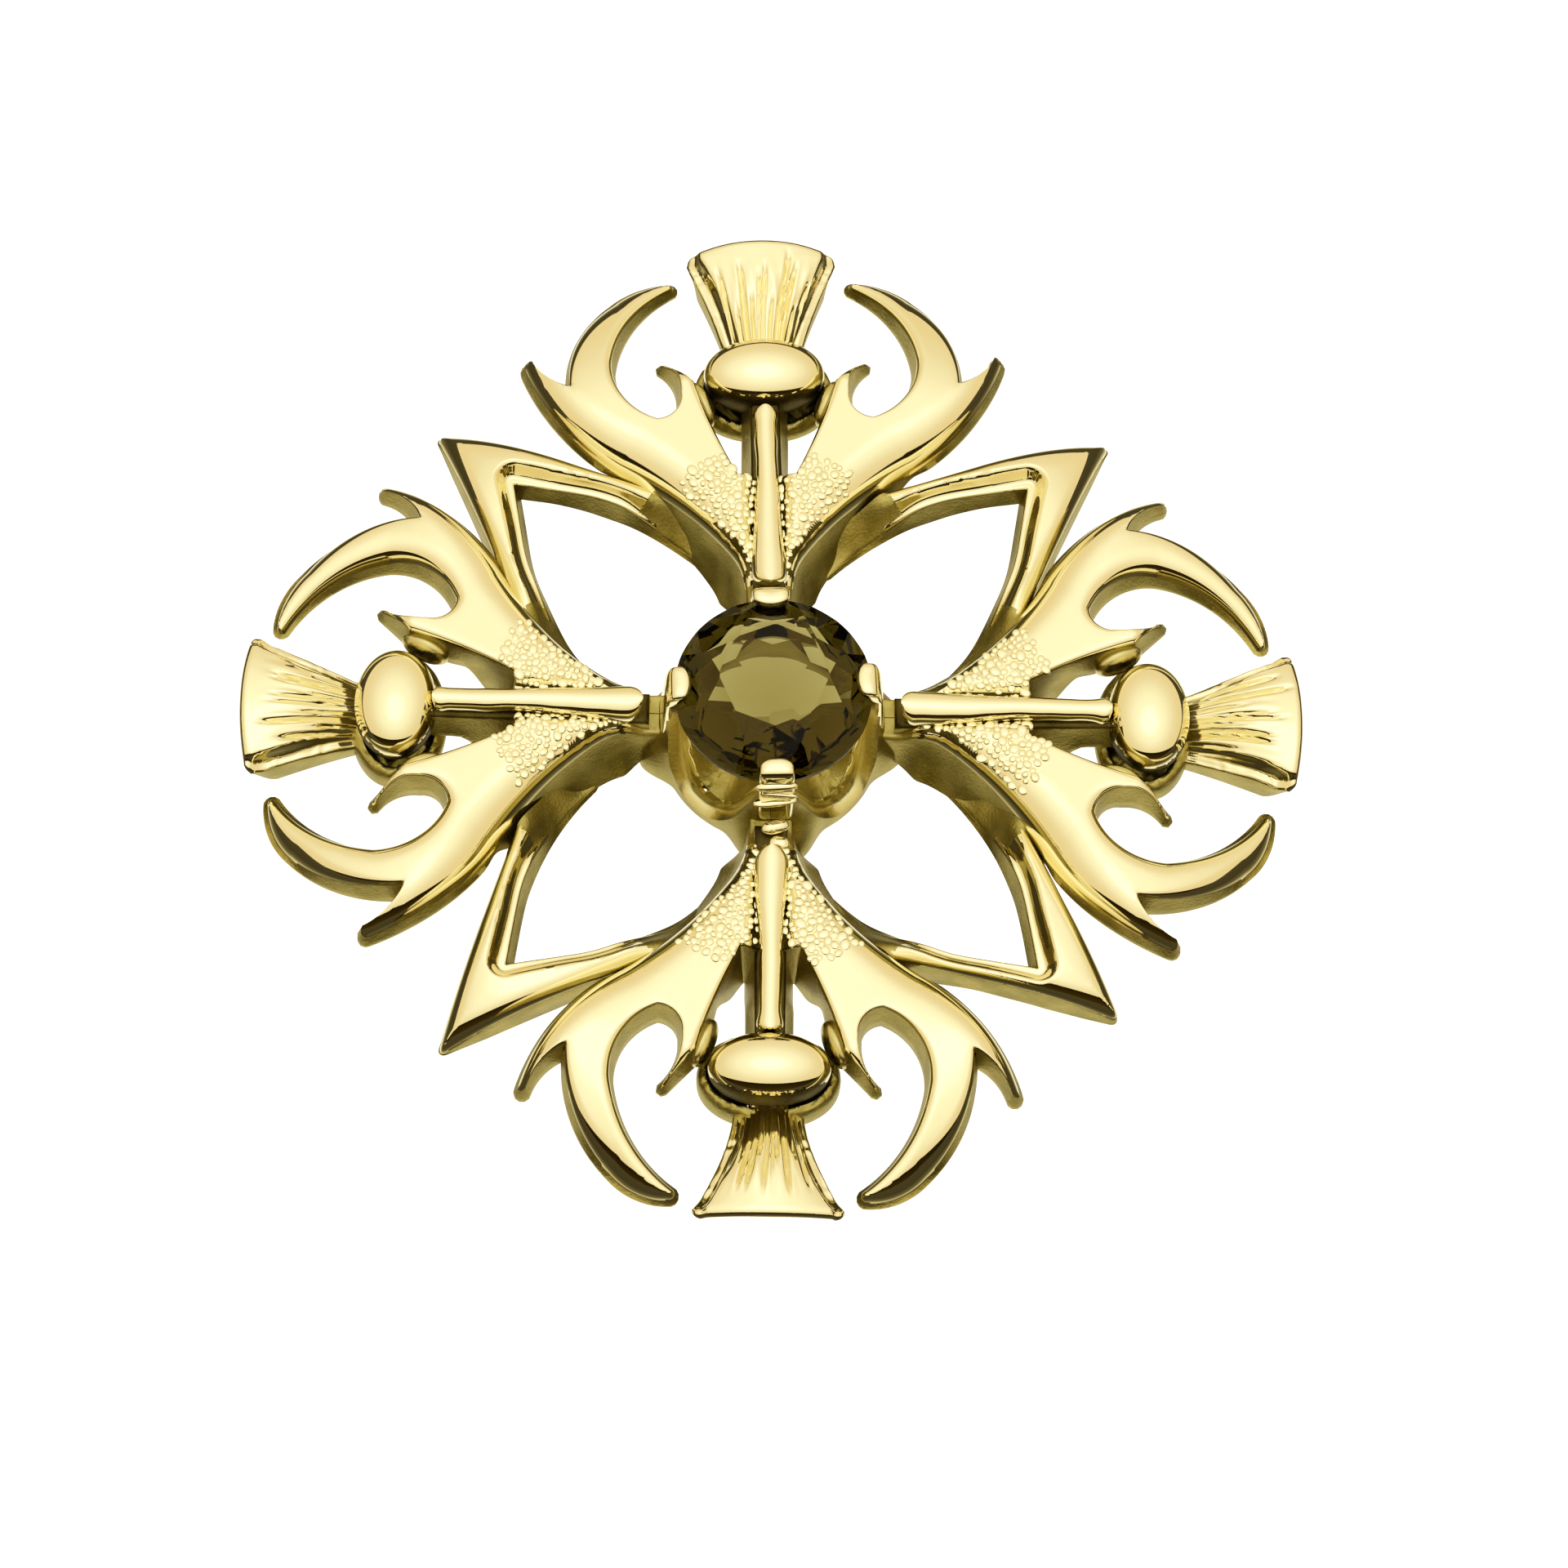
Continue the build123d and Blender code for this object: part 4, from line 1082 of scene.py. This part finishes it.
def stone_material():
    """Clear brown quartz: refraction and a mirror that is weaker outside, darker with depth."""
    material, tree = new_material("smoky_quartz")
    tree.nodes.remove(tree.nodes["Principled BSDF"])
    place = add_node(tree, "ShaderNodeTexCoord", "Object")
    cloud = add_node(tree, "ShaderNodeTexNoise", "Fac", {"Scale": 350.0, "Vector": place})
    tint = colour_ramp(tree, cloud, ((0.0, (0.93, 0.90, 0.80)), (1.0, (0.98, 0.96, 0.88))))
    through = add_node(tree, "ShaderNodeBsdfRefraction", "BSDF", {
        "Color": tint, "IOR": STONE_IOR, "Roughness": 0.0,
    })
    mirror = add_node(tree, "ShaderNodeBsdfGlossy", "BSDF", {"Roughness": 0.0})
    gloss = add_node(tree, "ShaderNodeFresnel", "Fac", {"IOR": STONE_IOR})
    from_inside = add_node(tree, "ShaderNodeNewGeometry", "Backfacing")
    weaker = add_node(tree, "ShaderNodeMapRange", "Result", {"Value": from_inside, "To Min": 0.5})
    share = add_node(tree, "ShaderNodeMath", "Value", {0: gloss, 1: weaker}, "MULTIPLY")
    mixed = {"Fac": share, 1: through, 2: mirror}
    set_inputs(tree, tree.nodes["Material Output"], {
        "Surface": add_node(tree, "ShaderNodeMixShader", "Shader", mixed),
        "Volume": add_node(tree, "ShaderNodeVolumeAbsorption", "Volume", {
            "Color": (0.60, 0.55, 0.15, 1), "Density": 550.0,
        }),
    })
    return material


def floor_material():
    """Floor that the camera sees as plain white with a faint contact shadow.

    Reflections see it darker towards grazing angles."""
    material, tree = new_material("pale_floor")
    angle = add_node(tree, "ShaderNodeLayerWeight", "Facing", {"Blend": 0.5})
    fall = colour_ramp(tree, angle, (
        (0.00, (0.88, 0.86, 0.74)), (0.22, (0.87, 0.84, 0.69)), (0.30, (0.56, 0.52, 0.35)),
        (0.42, (0.13, 0.11, 0.05)), (0.60, (0.045, 0.034, 0.010)), (1.00, (0.055, 0.042, 0.014)),
    ))
    seen = add_node(tree, "ShaderNodeMixRGB", "Color", {
        "Fac": add_node(tree, "ShaderNodeLightPath", "Is Camera Ray"),
        "Color1": fall,
        "Color2": (0.98, 0.98, 0.98, 1),
    })
    set_inputs(tree, tree.nodes["Principled BSDF"], {
        "Base Color": (0.03, 0.03, 0.03, 1), "Specular IOR Level": 0.0, "Roughness": 0.9,
        "Emission Color": seen, "Emission Strength": 1.0,
    })
    return material


metal = [gold_material(*row) for row in GOLDS]

# Pieces
pieces = {name: Shell() for name in (
    "leaves_top_bottom", "leaves_sides", "granulation", "stems", "thistle_bulbs", "calyx_discs",
    "thistle_tufts", "corner_chevrons", "collet", "claws",
)}
leaves = [(leaf, leaf.mirrored()) for leaf in map(leaf_shell, (leaf_roll, side_roll))]
# The calyx hollows of the top and bottom arms take the dark painted-shade gold, those of the side
# arms the cast gold.
discs = [calyx_shell(kind) for kind in (PAINTED_SHADE, CAST_AND_SHADE)]
rib = rib_shell()
for number, row in enumerate(THISTLES):
    heading, turn, half_width, half_length, middle, inner_end, outer_end = row
    angle, side_arm = heading + turn, number % 2
    halves = (half_width, half_length, BULB_HALF_HEIGHT)
    bulb = sphere_shell((0, middle, BULB_HEIGHT), halves, 128, 64, flat=0.85)
    x, y, z = bulb.middles().T
    # Painted shade and dark reflection: the lower cap of each bulb takes the dark gold,
    # reaching higher on the sides that are dark in the photograph.
    inner_side = ease(middle - y, 0.2, 1.2) * (0.75 if number == 0 else 0.25)
    outer_side = ease(y - middle, 0.3, 1.1) * (0.62 if number == 2 else 0.2)
    cut = BULB_CUT + inner_side + outer_side + 0.05 * np.sin(x * 9) + 0.04 * np.sin(x * 23 + 1)
    bulb.mark(z < cut, PAINTED_SHADE)
    lumps = [
        sphere_shell((side * LUMP[0], *LUMP[1:]), LUMP_HALVES, 32, 20, SATIN, turn=-side * 24.0)
        for side in (-1, 1)
    ]
    for name, *shells in (
        ("leaves_sides" if side_arm else "leaves_top_bottom", *leaves[side_arm]),
        ("granulation", bead_shells(30 + number), bead_shells(40 + number).mirrored()),
        ("stems", stem_shell(1.0 + number, inner_end, outer_end), rib),
        ("thistle_bulbs", bulb),
        ("calyx_discs", discs[side_arm], *lumps),
        ("thistle_tufts", tuft_shell(11 + number, *TUFTS[number])),
    ):
        pieces[name].join(*(shell.placed(angle) for shell in shells))
for heading, sway, reach_share in CHEVRONS:
    pieces["corner_chevrons"].join(chevron_shell(sway, reach_share).placed(heading))
pieces["collet"].join(collet_shell())
for heading, wide, ridged in CLAWS:
    pieces["claws"].join(claw_shell(wide, ridged).placed(heading + SETTING_TURN))
for name, shell in pieces.items():
    piece = make_object(name, shell, metal)
    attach(piece, "root")
    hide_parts("thistle_frame")

stone = cut_stone("faceted_stone", stone_material())
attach(stone, "root")
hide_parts("centre_stone")
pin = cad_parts["brooch_pin"]
pin.data.materials.clear()
pin.data.materials.append(metal[POLISHED])

# Floor, light and camera
floor_mesh = bpy.data.meshes.new("floor")
corners = [(x * FLOOR_REACH, y * FLOOR_REACH) for x, y in ((-1, -1), (1, -1), (1, 1), (-1, 1))]
floor_mesh.from_pydata([(x, y, FLOOR_LEVEL) for x, y in corners], [], [(0, 1, 2, 3)])
floor_mesh.materials.append(floor_material())
floor = linked("floor", floor_mesh)

# Light by height above the horizon, and a dark room below a slanting edge on the near side.
world = bpy.data.worlds.new("studio")
bpy.context.scene.world = world
world.use_nodes = True
tree = world.node_tree
place = add_node(tree, "ShaderNodeTexCoord", "Generated")
up = add_node(tree, "ShaderNodeSeparateXYZ", "Z", {"Vector": place})
sky = colour_ramp(tree, up, (
    (0.00, (0.72, 0.62, 0.42)), (0.25, (0.72, 0.62, 0.42)), (0.50, (0.74, 0.67, 0.50)),
    (0.70, (0.80, 0.76, 0.62)), (0.92, (0.91, 0.895, 0.78)), (0.975, (1.00, 1.00, 1.00)),
    (1.00, (1.00, 1.00, 1.00)),
))
edge = up.node.outputs["Y"]
for operation, number in (("MULTIPLY", -0.90), ("ADD", -0.35), ("MAXIMUM", -0.02)):
    edge = add_node(tree, "ShaderNodeMath", "Value", {0: edge, 1: number}, operation)
over_edge = add_node(tree, "ShaderNodeMath", "Value", {0: up, 1: edge}, "SUBTRACT")
centred = add_node(tree, "ShaderNodeMath", "Value", {0: over_edge, 1: 0.5}, "ADD")
room = colour_ramp(tree, centred, (
    (0.00, (0.067, 0.048, 0.011)), (0.30, (0.040, 0.030, 0.006)), (0.47, (0.020, 0.015, 0.003)),
    (0.495, (0.010, 0.008, 0.002)), (0.505, (1.0, 1.0, 1.0)), (1.00, (1.0, 1.0, 1.0)),
))
set_inputs(tree, tree.nodes["Background"], {
    "Color": add_node(tree, "ShaderNodeVectorMath", "Vector", {0: sky, 1: room}, "MULTIPLY"),
    "Strength": 1.06,
})

camera_data = bpy.data.cameras.new("camera")
camera_data.sensor_width = 36.0
camera_data.lens = CAMERA_LENS
camera_data.shift_x, camera_data.shift_y = CAMERA_SHIFT
camera = linked("camera", camera_data)
turn = Matrix.Identity(4)
for axis, degrees in CAMERA_TURNS:
    turn = turn @ Matrix.Rotation(math.radians(degrees), 4, axis)
camera.matrix_world = turn @ Matrix.Translation((0, 0, CAMERA_DISTANCE))
bpy.context.scene.camera = camera
bpy.context.scene.view_settings.view_transform = "Standard"
bpy.context.scene.view_settings.look = "Medium High Contrast"
